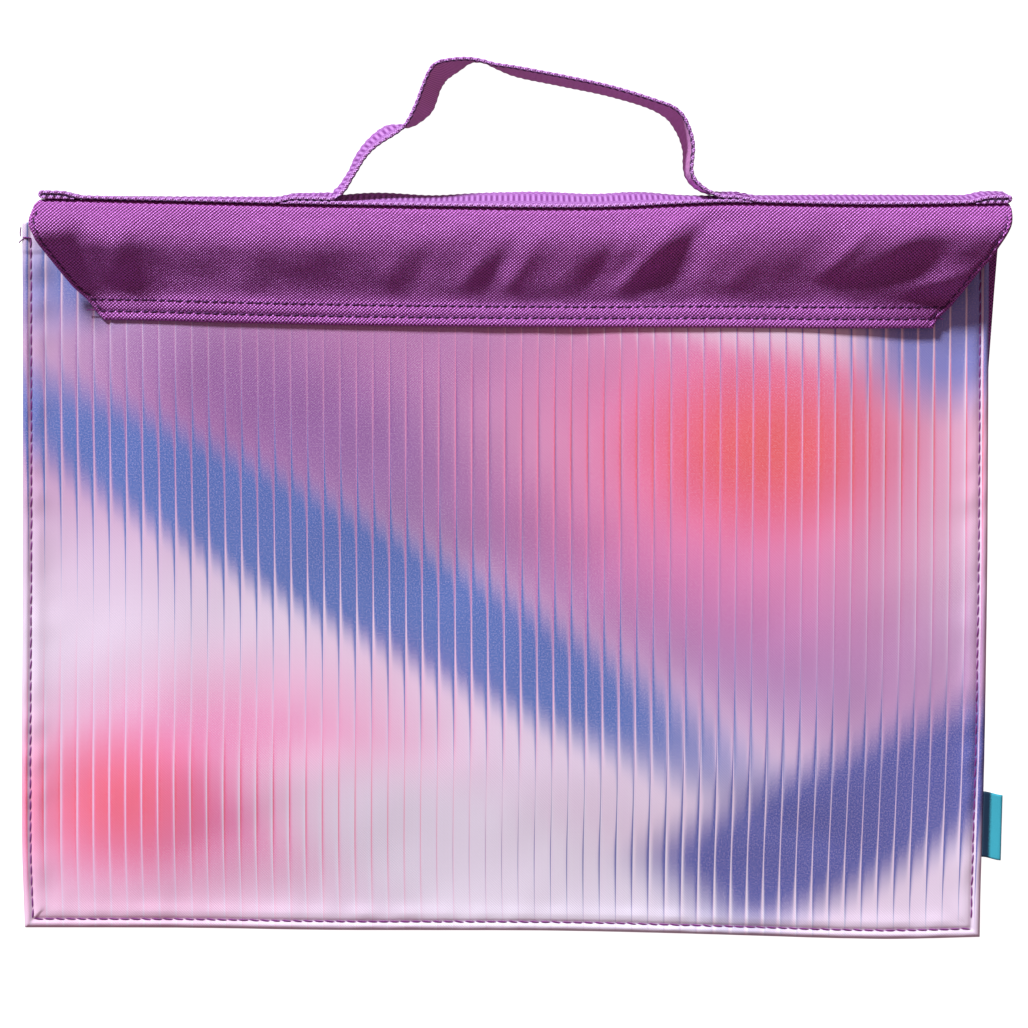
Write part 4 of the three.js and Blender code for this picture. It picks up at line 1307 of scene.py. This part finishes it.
def backdrop(name, points, faces):
    """A pale surface that the camera sees but that throws no light on the bag."""
    s = Shader(name)
    s.finish(linear(0.6, 0.6, 0.6), 0.9, specular=0.1)
    s.shader.inputs["Emission Color"].default_value = (1.0, 1.0, 1.0, 1.0)
    s.shader.inputs["Emission Strength"].default_value = 1.0
    piece = make_mesh(name, points, faces, None, None, (s.material,))
    piece.visible_diffuse = False
    piece.visible_glossy = False
    return piece


def floor():
    corners = ((-1, -1, 0), (1, -1, 0), (1, 1, 0), (-1, 1, 0))
    backdrop("floor", np.array(corners) * FLOOR_SIDE, [(0, 1, 2, 3)])


def surround():
    """A white wall all round, far off, for views from low down."""
    turn = np.linspace(0, 2 * math.pi, WALL_PANELS + 1)[:-1]
    ring = np.stack([np.cos(turn), np.sin(turn), 0 * turn], axis=1) * WALL_RADIUS
    points = np.concatenate([ring, ring + (0, 0, WALL_RADIUS)])
    low = np.arange(WALL_PANELS)
    after = np.roll(low, -1)
    faces = np.stack([low, low + WALL_PANELS, after + WALL_PANELS, after], axis=1)
    wall = backdrop("surround", points, faces)
    wall.visible_shadow = False


def studio():
    """A soft key light from the upper left, low enough to model the folds, and a dim warm fill from the
    world.
    """
    world = bpy.data.worlds.new("studio")
    world.use_nodes = True
    background = world.node_tree.nodes["Background"]
    background.inputs[0].default_value = FILL_COLOR
    background.inputs[1].default_value = FILL_STRENGTH
    bpy.context.scene.world = world
    world.cycles_visibility.glossy = False
    data = bpy.data.lights.new("key", "SUN")
    data.energy = KEY_STRENGTH
    data.angle = math.radians(KEY_ANGLE)
    data.color = KEY_COLOR
    lamp = bpy.data.objects.new("key", data)
    lamp.rotation_euler = Vector(KEY_FROM).to_track_quat("Z", "Y").to_euler()
    bpy.context.scene.collection.objects.link(lamp)
    bpy.context.scene.view_settings.view_transform = "Standard"


def camera():
    data = bpy.data.cameras.new("camera")
    data.sensor_width = 36.0
    data.lens = data.sensor_width * (CAMERA_HEIGHT - BAG_LEVEL) / (PHOTO_SIDE * PIXEL)
    data.dof.use_dof = False
    piece = bpy.data.objects.new("camera", data)
    piece.location = (np.array([*VIEW_MIDDLE, CAMERA_HEIGHT]) + ORIGIN) * MM
    bpy.context.scene.collection.objects.link(piece)
    bpy.context.scene.camera = piece


floor()
surround()
studio()
camera()
